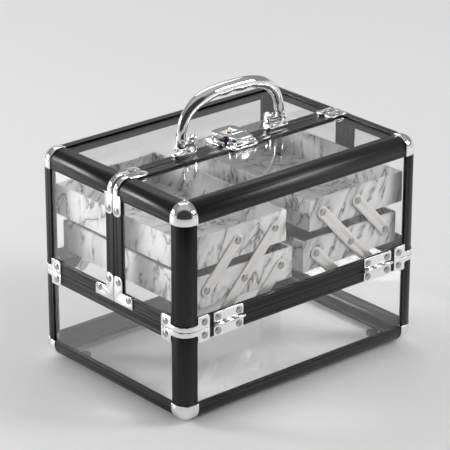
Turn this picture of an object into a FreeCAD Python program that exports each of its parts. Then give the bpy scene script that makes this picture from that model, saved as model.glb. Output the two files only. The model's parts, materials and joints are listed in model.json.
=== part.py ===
import FreeCAD, Part
import math
import os
from FreeCAD import Vector

# A clear train case for make-up. A black aluminium frame holds acrylic panels. The lid is split
# along its length into a front and a back half, each hinged on a long side of the base, and two
# banks of cantilever trays swing on flat arms from the base rim.
# Frame of reference: +X along the hinges, -Y the front, +Z up, origin under the middle of the
# case, on the surface that it stands on. All sizes are in millimetres.

# Overall size
LENGTH = 250.0  # along the hinges, outside the frame
DEPTH = 180.0  # front to back, outside the frame
SPLIT_Y = -5.5  # the line between the lid halves: the front one is the shallower
HEIGHT = 181.0  # bottom rails to top rails, without feet and handle
BASE_HEIGHT = 78.0  # bottom rails to the seam between base and lid
SEAM_GAP = 0.3  # left between the base rim and the lid rim
SPLIT_GAP = 0.3  # left between the two lid halves

# Frame extrusions
FRAME_WALL = 4.7  # full thickness of a rail leg, with its panel slot
RAIL_LEG = 15.0
POST_LEG = 14.3
EDGE_RADIUS = 11.0  # outer quarter-round of rails and posts
INNER_RADIUS = 6.0
GROOVE_WIDTH = 0.5
GROOVE_DEPTH = 0.3
GROOVE_OFFSET = 0.3  # from the end of the quarter-round to the line in the flange
RIM_HEIGHT = 9.3
RIM_GROOVE_STEP = 2.6  # between the lines in the face of a rim rail
SPLIT_WIDTH = 10.0  # of one split post or split bar
SPLIT_EDGE_RADIUS = 0.8

# Acrylic panels and their slots
PANEL_THICKNESS = 2.5
PANEL_SKIN = 1.05  # frame face to panel face
PANEL_HOLD = 5.5  # how far a panel reaches into a rail, post or bar
PANEL_PLAY = 0.05
PANEL_EDGE_PLAY = 0.5

# Chrome ball corners, plates and rivets
CORNER_PROUD = 0.6
SEAT = 0.05  # lacquer gap under plates and round fixed shanks
PLATE = 0.8
BRACKET_REACH = 26.0  # rim bracket, from the corner along each face
BRACKET_BAND = 4.2  # height of its band round the post
BRACKET_EAR = RIM_HEIGHT + 1.4
BRACKET_EAR_RADIUS = 2.5
BRACKET_FILLET = 2.0  # between an ear and the band
BRACKET_RIVET = 5.2  # from the ear's end
RIVET_HEAD_RADIUS = 2.6
RIVET_HEAD_HEIGHT = 0.8
RIVET_SHANK_RADIUS = 1.1
RIVET_BITE = 0.85  # how far a shank goes into the frame's outer skin
FAN_EDGE = 0.3  # from the split line to the plate
FAN_WIDTH = 10.0  # from the split line to the outer edge of its upright ear
FAN_HEIGHT = 22.8
FAN_REACH = 23.2  # from the split line to the end of its level ear
FAN_LEVEL_HEIGHT = RIM_HEIGHT + 0.6
FAN_RADIUS = 3.0  # of its outer corners
FAN_FILLET = 2.0
FAN_UPRIGHT = (5.8, 17.9)  # upright ear's rivet, from the split line and above the seam
FAN_LEVEL = (18.5, RIM_HEIGHT - 2.6)  # level ear's, the same way
SADDLE_WIDTH = 5.6
SADDLE_MIDDLE = 3.6  # from the split line to the middle of the strap
SADDLE_TAB_WIDTH = 9.4
SADDLE_TAB = (11.7, 29.4)  # where a tab starts and ends, from the outer edge of the frame
SADDLE_TAB_RADIUS = 3.8
SADDLE_DROP = 25.0  # top of the case to the rivet on the split post
SADDLE_REACH = 22.0  # end of the case to the rivet on the split bar

# Butt hinges, two on each long side
HINGE_INSET = 45.0  # from the end of the case to a hinge's middle
HINGE_WIDTH = 30.0
HINGE_LEAF = 1.0
HINGE_LEAF_HEIGHT = RIM_HEIGHT + 0.8
HINGE_LEAF_RADIUS = 1.2
KNUCKLE_RADIUS = 1.5
HINGE_AXIS_OUT = KNUCKLE_RADIUS + 0.4  # from the frame's face to the pin's axis
KNUCKLE_GAP = 0.2
HINGE_PIN_RADIUS = 0.8
HINGE_PIN_PLAY = 0.05
HINGE_PIN_HEAD_RADIUS = 1.2
HINGE_PIN_HEAD = 0.7
HINGE_RIVET_X = 10.8
HINGE_RIVET_Z = RIM_HEIGHT - 3.5
HINGE_CLEARANCE = 0.3

# Rubber feet under the bottom panel
FOOT_HEIGHT = 2.0  # below the frame
FOOT_RADIUS = 5.0
FOOT_INSET_X = 21.0
FOOT_INSET_Y = 29.5
FOOT_EDGE_RADIUS = 0.8

# Handle, on the back half of the lid
HANDLE_SPAN = 104.4  # between the middles of its legs
HANDLE_RISE = 39.6  # pivot to the middle of the grip
HANDLE_SQUARENESS = 2.8  # 2 is an ellipse, more is squarer
LEG_HALF = (4.0, 4.2)  # half thickness in the arch's plane, and across it
GRIP_HALF = (5.2, 6.0)
FINGER_WAVE = 0.7
FINGER_PITCH = 19.0
FINGER_REACH = 30.0
HANDLE_EYE_RADIUS = 4.4
HANDLE_PIN_RADIUS = 1.4
HANDLE_PIN_HEAD_RADIUS = 2.6
HANDLE_EAR = 2.0
HANDLE_EAR_RADIUS = 3.6
HANDLE_EAR_RISE = 4.6  # pivot to the middle of the ear's crown
HANDLE_STUD = 4.4  # on the crown, towards the leg
HANDLE_STUD_RADIUS = 1.8
HANDLE_BOSS = 7.4  # on the ear, towards the leg
HANDLE_BOSS_RADIUS = 2.3
HANDLE_SIDE_PLAY = 0.4
RUNNING_PLAY = 0.05  # radial play of the pins that things turn on
HANDLE_BASE = 2.2
HANDLE_BASE_INNER = 1.2  # inwards of the ear
HANDLE_BASE_OUTER = 3.8  # outwards of the leg
HANDLE_BASE_WIDTH = SPLIT_WIDTH - 2.2
HANDLE_PIVOT_HEIGHT = 7.2  # above the split bar

# Latch: a hasp on the front half, a lock on the back half
LATCH_X = 0.0
LATCH_PLATE = 1.2
LATCH_PLATE_WIDTH = 28.0
LATCH_PLATE_REACH = 14.5  # from the split line to the front end
LATCH_GAP = 0.3  # from the split line to each half of the latch
LATCH_RADIUS = 3.0
LOCK_PLATE_WIDTH = 32.0
LOCK_PLATE_REACH = 22.0
LOCK_PLATE_RADIUS = 8.0
LOCK_WIDTH = 25.0
LOCK_REACH = 18.2
LOCK_RADIUS = 6.0
LOCK_SLAB = 4.8  # thickness of its overhanging top
LOCK_NECK_INSET = 1.6  # below the overhang, from its edge
LATCH_HEIGHT = 8.0
LATCH_SOFTENING = 0.9
HASP_WIDTH = 18.0
HASP_AXIS_Y = LATCH_PLATE_REACH - 2.5  # from the split line to the hasp's pin
HASP_BARREL_RADIUS = 1.7
HASP_LIFT = 0.3
HASP_LUG = 1.6
HASP_PIN_RADIUS = 0.8
PLUG_RADIUS = 3.0
PLUG_DEPTH = 4.6
PLUG_PROUD = 0.4
PLUG_Y = 7.5
KEY_SLOT = (0.9, 3.6, 2.2)
SCREW_HEAD_RADIUS = 1.3

# Trays, two in each bank
TRAY_WALL = 2.0
TRAY_SIDE_GAP = 5.8  # upper tray to the frame at the end of the case
TRAY_STACK_GAP = 7.4  # between the two trays of a bank
LID_HEADROOM = 26.5  # upper tray to the underside of the top rails
UPPER_TRAY_INSET = 12.5  # from the middle of the case
LOWER_TRAY_INSET = 6.0
PIVOT_INSET = 12.8  # from a tray's end wall to its first and last pivots, along X
PIVOT_ABOVE_MIDDLE = 1.2  # of a tray's height

# Arms, in pairs outside the two ends of the trays
ARM_HALF_WIDTH = 5.0
ARM_THICKNESS = 1.2
ARM_CLEARANCE = 0.3
ARM_FOOT_DROP = RIM_HEIGHT - 2.5  # below the seam
SPACER_LENGTH = 3.0
SPACER_RADIUS = 4.0
PIVOT_RADIUS = 1.5
PIVOT_HEAD_RADIUS = 2.8
PIVOT_HEAD = 1.0
PIVOT_INNER_HEAD_RADIUS = 2.4
PIVOT_INNER_HEAD = 0.8
PIVOT_INNER_GAP = 0.1

# Places worked out from the sizes above
HALF_X = LENGTH / 2
HALF_Y = DEPTH / 2
Z_BOTTOM = FOOT_HEIGHT
Z_SEAM = FOOT_HEIGHT + BASE_HEIGHT
Z_TOP = FOOT_HEIGHT + HEIGHT
PANEL_INSET = RAIL_LEG - PANEL_HOLD  # outer face of the frame to the edge of a panel
RAIL_FACE = HALF_Y - FRAME_WALL  # inner face of the rim rails
FOOT_Z = Z_SEAM - ARM_FOOT_DROP
ARM_OUTER = RAIL_FACE - SPACER_LENGTH - ARM_CLEARANCE
ARM_INNER = ARM_OUTER - ARM_THICKNESS
TRAY_END = ARM_INNER - ARM_CLEARANCE
TRAY_LENGTH = HALF_X - FRAME_WALL - TRAY_SIDE_GAP - UPPER_TRAY_INSET
PIVOT_SPACING = TRAY_LENGTH / 2 - PIVOT_INSET  # between the pivots of the long and the short arm
ARM_RUN = PIVOT_SPACING - UPPER_TRAY_INSET + LOWER_TRAY_INSET  # one pivot to the next, along X
STACK_ROOM = Z_TOP - FRAME_WALL - LID_HEADROOM - FOOT_Z  # arm feet to the upper tray's rim
ARM_RISE = (STACK_ROOM + PIVOT_ABOVE_MIDDLE + TRAY_STACK_GAP / 2) / 2.5
TRAY_HEIGHT = ARM_RISE - TRAY_STACK_GAP
TRAY_PIVOT_HEIGHT = TRAY_HEIGHT / 2 + PIVOT_ABOVE_MIDDLE
UP = Vector(0, 0, 1)
FRONT = Vector(0, -1, 0)
LEFT = Vector(-1, 0, 0)

os.makedirs("parts", exist_ok=True)


# ---- Drawing helpers


def box(x_range, y_range, z_range):
    """Block between two values along each axis, given in any order."""
    ranges = [sorted(pair) for pair in (x_range, y_range, z_range)]
    low = Vector(*(pair[0] for pair in ranges))
    sizes = [pair[1] - pair[0] for pair in ranges]
    return Part.makeBox(*sizes, low)


def rod(start, end, radius):
    """Round bar from start to end."""
    run = end - start
    return Part.makeCylinder(radius, run.Length, start, run)


def mirror_x(shape):
    return shape.mirror(Vector(), Vector(1, 0, 0))


def mirror_y(shape):
    return shape.mirror(Vector(), Vector(0, 1, 0))


def mirror_z(shape, height):
    return shape.mirror(Vector(0, 0, height), UP)


def left_and_right(shapes):
    return shapes + [mirror_x(shape) for shape in shapes]


def front_and_back(shapes):
    return shapes + [mirror_y(shape) for shape in shapes]


def four_corners(shapes):
    return front_and_back(left_and_right(shapes))


def face_from(place, start, *steps):
    """Flat face inside an outline. A step is a pair, a straight run to that point, or a pair of
    pairs, an arc through the first point to the second. place turns a pair into a point."""
    edges = []
    here = place(*start)
    for step in steps:
        if isinstance(step[0], tuple):
            through, there = (place(*pair) for pair in step)
            edges.append(Part.Arc(here, through, there).toShape())
        else:
            there = place(*step)
            edges.append(Part.LineSegment(here, there).toShape())
        here = there
    return Part.Face(Part.Wire(edges))


def quarter(centre, start, end):
    """Outline step: a quarter circle about centre, from start to end."""
    middle = tuple(c + (s + e - 2 * c) / math.sqrt(2) for c, s, e in zip(centre, start, end))
    return middle, end


def around(centre, radius, angle):
    return centre[0] + radius * math.cos(angle), centre[1] + radius * math.sin(angle)


def strap(place, start, start_radius, end, end_radius, run):
    """Flat link between two round ends, its outline drawn by place and extruded along run."""
    reach = math.dist(start, end)
    angle = math.atan2(end[1] - start[1], end[0] - start[0])
    spread = math.acos((start_radius - end_radius) / reach)
    face = face_from(
        place,
        around(start, start_radius, angle + spread),
        (around(start, start_radius, angle + math.pi), around(start, start_radius, angle - spread)),
        around(end, end_radius, angle - spread),
        (around(end, end_radius, angle), around(end, end_radius, angle + spread)),
        around(start, start_radius, angle + spread),
    )
    return face.extrude(run)


def soften(shape, radius, wanted):
    """Round over the edges whose middle and direction are wanted."""
    edges = [e for e in shape.Edges if wanted(e.CenterOfMass, e.tangentAt(e.FirstParameter))]
    return shape.makeFillet(radius, edges)


def cut_where_met(shape, tools):
    """Cut the tools whose boxes meet the shape's own."""
    met = [tool for tool in tools if tool.BoundBox.intersect(shape.BoundBox)]
    return shape.cut(met) if met else shape


def cut_each(shapes, tools):
    return [cut_where_met(shape, tools) for shape in shapes]


def at_split(shapes):
    """Shapes drawn about a split line at y = 0, moved to where it is."""
    return [shape.translated(Vector(0, SPLIT_Y, 0)) for shape in shapes]


def save(node, shapes):
    """Write one node's solids to its STEP file."""
    solids = [solid for shape in shapes for solid in shape.Solids]
    Part.makeCompound(solids).exportStep(f"parts/{node}.step")
    print(node, len(solids))


# ---- Rivets: a seat point and the way the head faces stand for each one


def rivet(seat, out, grip, head_radius=RIVET_HEAD_RADIUS):
    """Domed rivet: its head stands on seat and faces out, and its shank goes in by grip."""
    head = rod(seat, seat + out * RIVET_HEAD_HEIGHT, head_radius)
    head = soften(
        head,
        RIVET_HEAD_HEIGHT * 0.7,
        lambda middle, _: (middle - seat).dot(out) > RIVET_HEAD_HEIGHT * 0.9,
    )
    return head.fuse(rod(seat, seat - out * grip, RIVET_SHANK_RADIUS))


def rivet_hole(seat, out, grip):
    """What a rivet's shank needs cleared in the plate and the frame under it."""
    return rod(seat + out * PLATE, seat - out * (grip + SEAT), RIVET_SHANK_RADIUS + SEAT)


def riveted(places, plate, head_radius=RIVET_HEAD_RADIUS):
    """Rivets and their holes through a plate, at (point on the frame's face, way out) places."""
    grip = SEAT + plate + RIVET_BITE
    seats = [(point + out * (SEAT + plate), out) for point, out in places]
    rivets = [rivet(seat, out, grip, head_radius) for seat, out in seats]
    return rivets, [rivet_hole(seat, out, grip) for seat, out in seats]


# ---- Panels, and the slots that every frame piece gets for them


def panel_behind(face, across, upright):
    """Upright panel parallel to X, behind the frame's face at y = face (towards the inside)."""
    inward = -math.copysign(1, face)
    outer = face + inward * PANEL_SKIN
    return box(across, (outer, outer + inward * PANEL_THICKNESS), upright)


def panel_beside(face, along, upright):
    """Upright panel parallel to Y, inside the frame's face at x = face."""
    inward = -math.copysign(1, face)
    outer = face + inward * PANEL_SKIN
    return box((outer, outer + inward * PANEL_THICKNESS), along, upright)


def slot_for(panel):
    """The panel's room: play on its faces, and more at its edges."""
    bounds = panel.BoundBox
    sizes = (bounds.XLength, bounds.YLength, bounds.ZLength)
    plays = [PANEL_PLAY if size == min(sizes) else PANEL_EDGE_PLAY for size in sizes]
    return box(
        (bounds.XMin - plays[0], bounds.XMax + plays[0]),
        (bounds.YMin - plays[1], bounds.YMax + plays[1]),
        (bounds.ZMin - plays[2], bounds.ZMax + plays[2]),
    )


SPAN_X = (PANEL_INSET - HALF_X, HALF_X - PANEL_INSET)
SPAN_Y = (PANEL_INSET - HALF_Y, HALF_Y - PANEL_INSET)
SPAN_BASE_Z = (Z_BOTTOM + PANEL_INSET, Z_SEAM - RIM_HEIGHT + PANEL_HOLD)
SPAN_LID_Z = (Z_SEAM + RIM_HEIGHT - PANEL_HOLD, Z_TOP - PANEL_INSET)

base_front_panel = panel_behind(-HALF_Y, SPAN_X, SPAN_BASE_Z)
base_left_panel = panel_beside(-HALF_X, SPAN_Y, SPAN_BASE_Z)
base_bottom_panel = box(
    SPAN_X, SPAN_Y, (Z_BOTTOM + PANEL_SKIN, Z_BOTTOM + PANEL_SKIN + PANEL_THICKNESS)
)
base_panels = front_and_back([base_front_panel]) + left_and_right([base_left_panel])
base_slots = [slot_for(panel) for panel in base_panels + [base_bottom_panel]]


# ---- Frame pieces


def rail(place, leg, run):
    """Quarter-round extrusion. Its section is drawn in from the two outer faces, u from the one
    and v from the other, with a line in each flange."""
    line = EDGE_RADIUS + GROOVE_OFFSET
    line_end = line + GROOVE_WIDTH
    bend = FRAME_WALL + INNER_RADIUS
    face = face_from(
        place,
        (0, EDGE_RADIUS),
        (0, line),
        (GROOVE_DEPTH, line),
        (GROOVE_DEPTH, line_end),
        (0, line_end),
        (0, leg),
        (FRAME_WALL, leg),
        (FRAME_WALL, bend),
        quarter((bend, bend), (FRAME_WALL, bend), (bend, FRAME_WALL)),
        (leg, FRAME_WALL),
        (leg, 0),
        (line_end, 0),
        (line_end, GROOVE_DEPTH),
        (line, GROOVE_DEPTH),
        (line, 0),
        (EDGE_RADIUS, 0),
        quarter((EDGE_RADIUS, EDGE_RADIUS), (EDGE_RADIUS, 0), (0, EDGE_RADIUS)),
    )
    return face.extrude(run)


def rim_rail(place, run):
    """Flat rim extrusion: u in from its face, h away from the seam, with two lines in its face."""
    near = RIM_HEIGHT / 2 - RIM_GROOVE_STEP / 2
    far = RIM_HEIGHT / 2 + RIM_GROOVE_STEP / 2
    half = GROOVE_WIDTH / 2
    face = face_from(
        place,
        (0, 0),
        (0, near - half),
        (GROOVE_DEPTH, near - half),
        (GROOVE_DEPTH, near + half),
        (0, near + half),
        (0, far - half),
        (GROOVE_DEPTH, far - half),
        (GROOVE_DEPTH, far + half),
        (0, far + half),
        (0, RIM_HEIGHT),
        (FRAME_WALL, RIM_HEIGHT),
        (FRAME_WALL, 0),
        (0, 0),
    )
    return face.extrude(run)


def ball_corner():
    """Bottom front left corner cap, ball shaped outside and open inside, proud of the rails."""
    outer = Vector(-HALF_X - CORNER_PROUD, -HALF_Y - CORNER_PROUD, Z_BOTTOM - CORNER_PROUD)
    block = Part.makeBox(*[RAIL_LEG + CORNER_PROUD] * 3, outer)
    meeting = [e for e in block.Edges if any(v.Point.isEqual(outer, 1e-6) for v in e.Vertexes)]
    block = block.makeFillet(EDGE_RADIUS + CORNER_PROUD, meeting)
    inside = Vector(FRAME_WALL - HALF_X, FRAME_WALL - HALF_Y, Z_BOTTOM + FRAME_WALL)
    return block.cut(Part.makeBox(*[RAIL_LEG] * 3, inside))


def corner_post(z_range):
    height = z_range[1] - z_range[0]
    return rail(lambda u, v: Vector(u - HALF_X, v - HALF_Y, z_range[0]), POST_LEG, UP * height)


def rail_along_x(z_of):
    """Rail on the front, full length between the ball corners. z_of turns v into a height."""
    start = RAIL_LEG - HALF_X
    run = Vector(-2 * start, 0, 0)
    return rail(lambda u, v: Vector(start, u - HALF_Y, z_of(v)), RAIL_LEG, run)


def rail_along_y(z_of, end):
    """Rail on the left, from the front ball corner to y = end."""
    start = RAIL_LEG - HALF_Y
    run = Vector(0, end - start, 0)
    return rail(lambda u, v: Vector(u - HALF_X, start, z_of(v)), RAIL_LEG, run)


def rim_along_x(z_of):
    start = POST_LEG - HALF_X
    return rim_rail(lambda u, h: Vector(start, u - HALF_Y, z_of(h)), Vector(-2 * start, 0, 0))


def rim_along_y(z_of, end):
    start = POST_LEG - HALF_Y
    return rim_rail(lambda u, h: Vector(u - HALF_X, start, z_of(h)), Vector(0, end - start, 0))


def below_seam(h):
    return Z_SEAM - SEAM_GAP / 2 - h


def above_seam(h):
    return Z_SEAM + SEAM_GAP / 2 + h


def above_bottom(v):
    return Z_BOTTOM + v


def below_top(v):
    return Z_TOP - v


def rim_bracket():
    """Lid's front left corner plate: a band round the post with an ear on each face."""
    out = PLATE + SEAT
    bend = EDGE_RADIUS + out
    reach = BRACKET_REACH + out
    face = face_from(
        lambda u, v: Vector(u - HALF_X - out, v - HALF_Y - out, above_seam(0)),
        (0, bend),
        (0, reach),
        (PLATE, reach),
        (PLATE, bend),
        quarter((bend, bend), (PLATE, bend), (bend, PLATE)),
        (reach, PLATE),
        (reach, 0),
        (bend, 0),
        quarter((bend, bend), (bend, 0), (0, bend)),
    )
    plate = face.extrude(UP * BRACKET_EAR)
    between = box(
        (-HALF_X - 2 * out, POST_LEG - HALF_X),
        (-HALF_Y - 2 * out, POST_LEG - HALF_Y),
        (above_seam(BRACKET_BAND), above_seam(2 * BRACKET_EAR)),
    )

    def beside(height, distance):
        return lambda middle, _: abs(middle.z - above_seam(height)) < 1e-6 and (
            abs(middle.x - distance + HALF_X) < 1e-6 or abs(middle.y - distance + HALF_Y) < 1e-6
        )

    plate = soften(plate.cut(between), BRACKET_FILLET, beside(BRACKET_BAND, POST_LEG))
    return soften(plate, BRACKET_EAR_RADIUS, beside(BRACKET_EAR, BRACKET_REACH))


def bracket_rivet_places():
    along = BRACKET_REACH - BRACKET_RIVET
    height = above_seam(BRACKET_EAR / 2)
    return [
        (Vector(along - HALF_X, -HALF_Y, height), FRONT),
        (Vector(-HALF_X, along - HALF_Y, height), LEFT),
    ]


def fan_bracket(split):
    """Plate at the foot of the left post before the split line: an upright and a level ear."""
    outer = -HALF_X - SEAT - PLATE
    faces = (outer, outer + PLATE)
    upright = (split - FAN_WIDTH, split - FAN_EDGE)
    level = (split - FAN_REACH, split - FAN_EDGE)
    plate = box(faces, upright, (above_seam(0), above_seam(FAN_HEIGHT)))
    plate = plate.fuse(box(faces, level, (above_seam(0), above_seam(FAN_LEVEL_HEIGHT))))
    plate = plate.removeSplitter()

    def corner(places):
        return lambda middle, way: abs(way.x) > 0.5 and any(
            abs(middle.y - split + across) < 1e-6 and abs(middle.z - above_seam(up)) < 1e-6
            for across, up in places
        )

    outer_corners = [(FAN_EDGE, FAN_HEIGHT), (FAN_WIDTH, FAN_HEIGHT), (FAN_REACH, FAN_LEVEL_HEIGHT)]
    plate = soften(plate, FAN_RADIUS, corner(outer_corners))
    return soften(plate, FAN_FILLET, corner([(FAN_WIDTH, FAN_LEVEL_HEIGHT)]))


def fan_rivet_places(split):
    return [
        (Vector(-HALF_X, split - across, above_seam(up)), LEFT)
        for across, up in (FAN_UPRIGHT, FAN_LEVEL)
    ]


def saddle_bracket(split):
    """Strap over the left top rail, from a tab on the split post to one on the split bar."""
    out = PLATE + SEAT
    bend = EDGE_RADIUS + out
    middle = split - SPLIT_WIDTH / 2
    face = face_from(
        lambda u, v: Vector(
            u - HALF_X - out, split - SADDLE_MIDDLE - SADDLE_WIDTH / 2, Z_TOP + out - v
        ),
        (0, bend),
        (0, SADDLE_DROP + out),
        (PLATE, SADDLE_DROP + out),
        (PLATE, bend),
        quarter((bend, bend), (PLATE, bend), (bend, PLATE)),
        (SADDLE_REACH + out, PLATE),
        (SADDLE_REACH + out, 0),
        (bend, 0),
        quarter((bend, bend), (bend, 0), (0, bend)),
    )
    strip = face.extrude(Vector(0, SADDLE_WIDTH, 0))
    width = (middle - SADDLE_TAB_WIDTH / 2, middle + SADDLE_TAB_WIDTH / 2)
    near, far = SADDLE_TAB
    on_post = box((-HALF_X - out, -HALF_X - SEAT), width, (Z_TOP - far, Z_TOP - near))
    on_post = soften(
        on_post,
        SADDLE_TAB_RADIUS,
        lambda place, way: abs(way.x) > 0.5 and place.z < Z_TOP - far + 1e-6,
    )
    on_bar = box((near - HALF_X, far - HALF_X), width, (Z_TOP + SEAT, Z_TOP + out))
    on_bar = soften(
        on_bar,
        SADDLE_TAB_RADIUS,
        lambda place, way: abs(way.z) > 0.5 and place.x > far - HALF_X - 1e-6,
    )
    return strip.fuse([on_post, on_bar]).removeSplitter()


def saddle_rivet_places(split):
    middle = split - SPLIT_WIDTH / 2
    return [
        (Vector(-HALF_X, middle, Z_TOP - SADDLE_DROP), LEFT),
        (Vector(SADDLE_REACH - HALF_X, middle, Z_TOP), UP),
    ]


# ---- Hinges


def hinge_place(out, up):
    """Point on the front left hinge's middle: out from the front face, up from the seam."""
    return Vector(HINGE_INSET - HALF_X, -HALF_Y - out, Z_SEAM + up)


def knuckles(owner):
    """Three knuckles fill the width: the outer two are the base's, the middle one the lid's."""
    third = HINGE_WIDTH / 3
    gap = KNUCKLE_GAP / 2
    if owner == "lid":
        return [(gap - third / 2, third / 2 - gap)]
    return [(-HINGE_WIDTH / 2, -third / 2 - gap), (third / 2 + gap, HINGE_WIDTH / 2)]


def hinge_leaf(owner):
    """One leaf of the front left hinge, rolled round the pin at its own knuckles."""
    side = 1 if owner == "lid" else -1
    x = HINGE_INSET - HALF_X
    skin = (-HALF_Y - SEAT - HINGE_LEAF, -HALF_Y - SEAT)
    clear = KNUCKLE_RADIUS + HINGE_CLEARANCE
    half = HINGE_WIDTH / 2
    tip = Z_SEAM + side * HINGE_LEAF_HEIGHT
    leaf = box((x - half, x + half), skin, (Z_SEAM + side * clear, tip))
    leaf = soften(
        leaf,
        HINGE_LEAF_RADIUS,
        lambda middle, way: abs(middle.z - tip) < 1e-6 and abs(way.y) > 0.5,
    )
    pieces = []
    for low, high in knuckles(owner):
        start = hinge_place(HINGE_AXIS_OUT, 0) + Vector(low, 0, 0)
        end = hinge_place(HINGE_AXIS_OUT, 0) + Vector(high, 0, 0)
        pieces.append(rod(start, end, KNUCKLE_RADIUS))
        pieces.append(box((x + low, x + high), skin, (above_hinge(side), Z_SEAM + side * clear)))
    bore = rod(
        hinge_place(HINGE_AXIS_OUT, 0) - Vector(HINGE_WIDTH, 0, 0),
        hinge_place(HINGE_AXIS_OUT, 0) + Vector(HINGE_WIDTH, 0, 0),
        HINGE_PIN_RADIUS + HINGE_PIN_PLAY,
    )
    return leaf.fuse(pieces).cut(bore).removeSplitter()


def above_hinge(side):
    """Where a leaf starts beside the seam, on its own side."""
    return Z_SEAM + side * SEAM_GAP / 2


def hinge_pin():
    half = Vector(HINGE_WIDTH / 2 + KNUCKLE_GAP / 2, 0, 0)
    head = Vector(HINGE_PIN_HEAD, 0, 0)
    middle = hinge_place(HINGE_AXIS_OUT, 0)
    shaft = rod(middle - half, middle + half, HINGE_PIN_RADIUS)
    heads = [
        rod(middle + half, middle + half + head, HINGE_PIN_HEAD_RADIUS),
        rod(middle - half - head, middle - half, HINGE_PIN_HEAD_RADIUS),
    ]
    return shaft.fuse(heads)


def hinge_rivet_places(side):
    return [
        (hinge_place(0, side * HINGE_RIVET_Z) + Vector(x, 0, 0), FRONT)
        for x in (-HINGE_RIVET_X, HINGE_RIVET_X)
    ]


# ---- Arms and trays. Pivots are given for the right bank, as (x, z); the left is its mirror.

LONG_FOOT = (LOWER_TRAY_INSET + PIVOT_INSET + PIVOT_SPACING + ARM_RUN, FOOT_Z)


def pivot_at(shift, steps):
    """Pivot beside the long arm's foot by shift, then steps up along the slant of the arms."""
    return LONG_FOOT[0] + shift - steps * ARM_RUN, LONG_FOOT[1] + steps * ARM_RISE


LONG_PIVOTS = [pivot_at(0, steps) for steps in range(3)]
LOWER_SHORT_PIVOTS = [pivot_at(-PIVOT_SPACING, steps) for steps in range(2)]
UPPER_SHORT_PIVOTS = [pivot_at(PIVOT_SPACING, steps) for steps in (1, 2)]


def tray_rivet(pivot):
    """Rivet from an arm on the front through a tray's end wall, with a head at both ends."""
    at = lambda depth: Vector(pivot[0], -depth, pivot[1])
    inner_seat = TRAY_END - TRAY_WALL - PIVOT_INNER_GAP
    shank = rod(at(ARM_OUTER), at(inner_seat), PIVOT_RADIUS)
    head = rod(at(ARM_OUTER), at(ARM_OUTER + PIVOT_HEAD), PIVOT_HEAD_RADIUS)
    head = soften(
        head, PIVOT_HEAD * 0.6, lambda middle, _: middle.y < -ARM_OUTER - PIVOT_HEAD * 0.9
    )
    inner = rod(at(inner_seat), at(inner_seat - PIVOT_INNER_HEAD), PIVOT_INNER_HEAD_RADIUS)
    return shank.fuse([head, inner])


def foot_rivet(pivot):
    """Rivet at an arm's foot: its head is inside, and its shank reaches into the rim rail."""
    at = lambda depth: Vector(pivot[0], -depth, pivot[1])
    end = HALF_Y - PANEL_SKIN - PANEL_THICKNESS - 2 * PANEL_PLAY
    shank = rod(at(ARM_INNER), at(end), PIVOT_RADIUS)
    return shank.fuse(rod(at(ARM_INNER), at(ARM_INNER - PIVOT_HEAD), PIVOT_HEAD_RADIUS))


def foot_hole(pivot):
    at = lambda depth: Vector(pivot[0], -depth, pivot[1])
    end = HALF_Y - PANEL_SKIN - PANEL_THICKNESS / 2
    return rod(at(ARM_INNER), at(end), PIVOT_RADIUS + RUNNING_PLAY)


def foot_spacer(pivot):
    """Collar on the rim rail's inner face that stands an arm off it."""
    at = lambda depth: Vector(pivot[0], -depth, pivot[1])
    return rod(at(ARM_OUTER + ARM_CLEARANCE), at(RAIL_FACE), SPACER_RADIUS).cut(foot_hole(pivot))


def arm(pivots):
    """Flat arm through its pivots on the front, with a close hole at each."""
    place = lambda x, z: Vector(x, -ARM_OUTER, z)
    run = Vector(0, ARM_THICKNESS, 0)
    flat = strap(place, pivots[0], ARM_HALF_WIDTH, pivots[-1], ARM_HALF_WIDTH, run)
    holes = [
        rod(
            Vector(x, -ARM_OUTER - ARM_THICKNESS, z),
            Vector(x, -ARM_INNER + ARM_THICKNESS, z),
            PIVOT_RADIUS + SEAT,
        )
        for x, z in pivots
    ]
    return flat.cut(holes)


def tray(inset, pivots):
    """Open box with its pivot holes through both end walls."""
    x_range = (inset, inset + TRAY_LENGTH)
    bottom = pivots[0][1] - TRAY_PIVOT_HEIGHT
    shell = box(x_range, (-TRAY_END, TRAY_END), (bottom, bottom + TRAY_HEIGHT))
    hollow = box(
        (x_range[0] + TRAY_WALL, x_range[1] - TRAY_WALL),
        (TRAY_WALL - TRAY_END, TRAY_END - TRAY_WALL),
        (bottom + TRAY_WALL, bottom + 2 * TRAY_HEIGHT),
    )
    holes = [
        rod(Vector(x, -DEPTH, z), Vector(x, DEPTH, z), PIVOT_RADIUS + RUNNING_PLAY)
        for x, z in pivots
    ]
    return shell.cut([hollow] + holes)


# ---- Handle


def smooth(amount):
    amount = min(max(amount, 0.0), 1.0)
    return amount * amount * (3 - 2 * amount)


def handle_middle(turn):
    """Middle line of the arch, as (x, z), for turn from 0, the right leg, to pi, the left."""
    power = 2 / HANDLE_SQUARENESS
    across = math.copysign(abs(math.cos(turn)) ** power, math.cos(turn))
    up = max(math.sin(turn), 0.0) ** power
    return across * HANDLE_SPAN / 2, Z_TOP + HANDLE_PIVOT_HEIGHT + up * HANDLE_RISE


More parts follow.
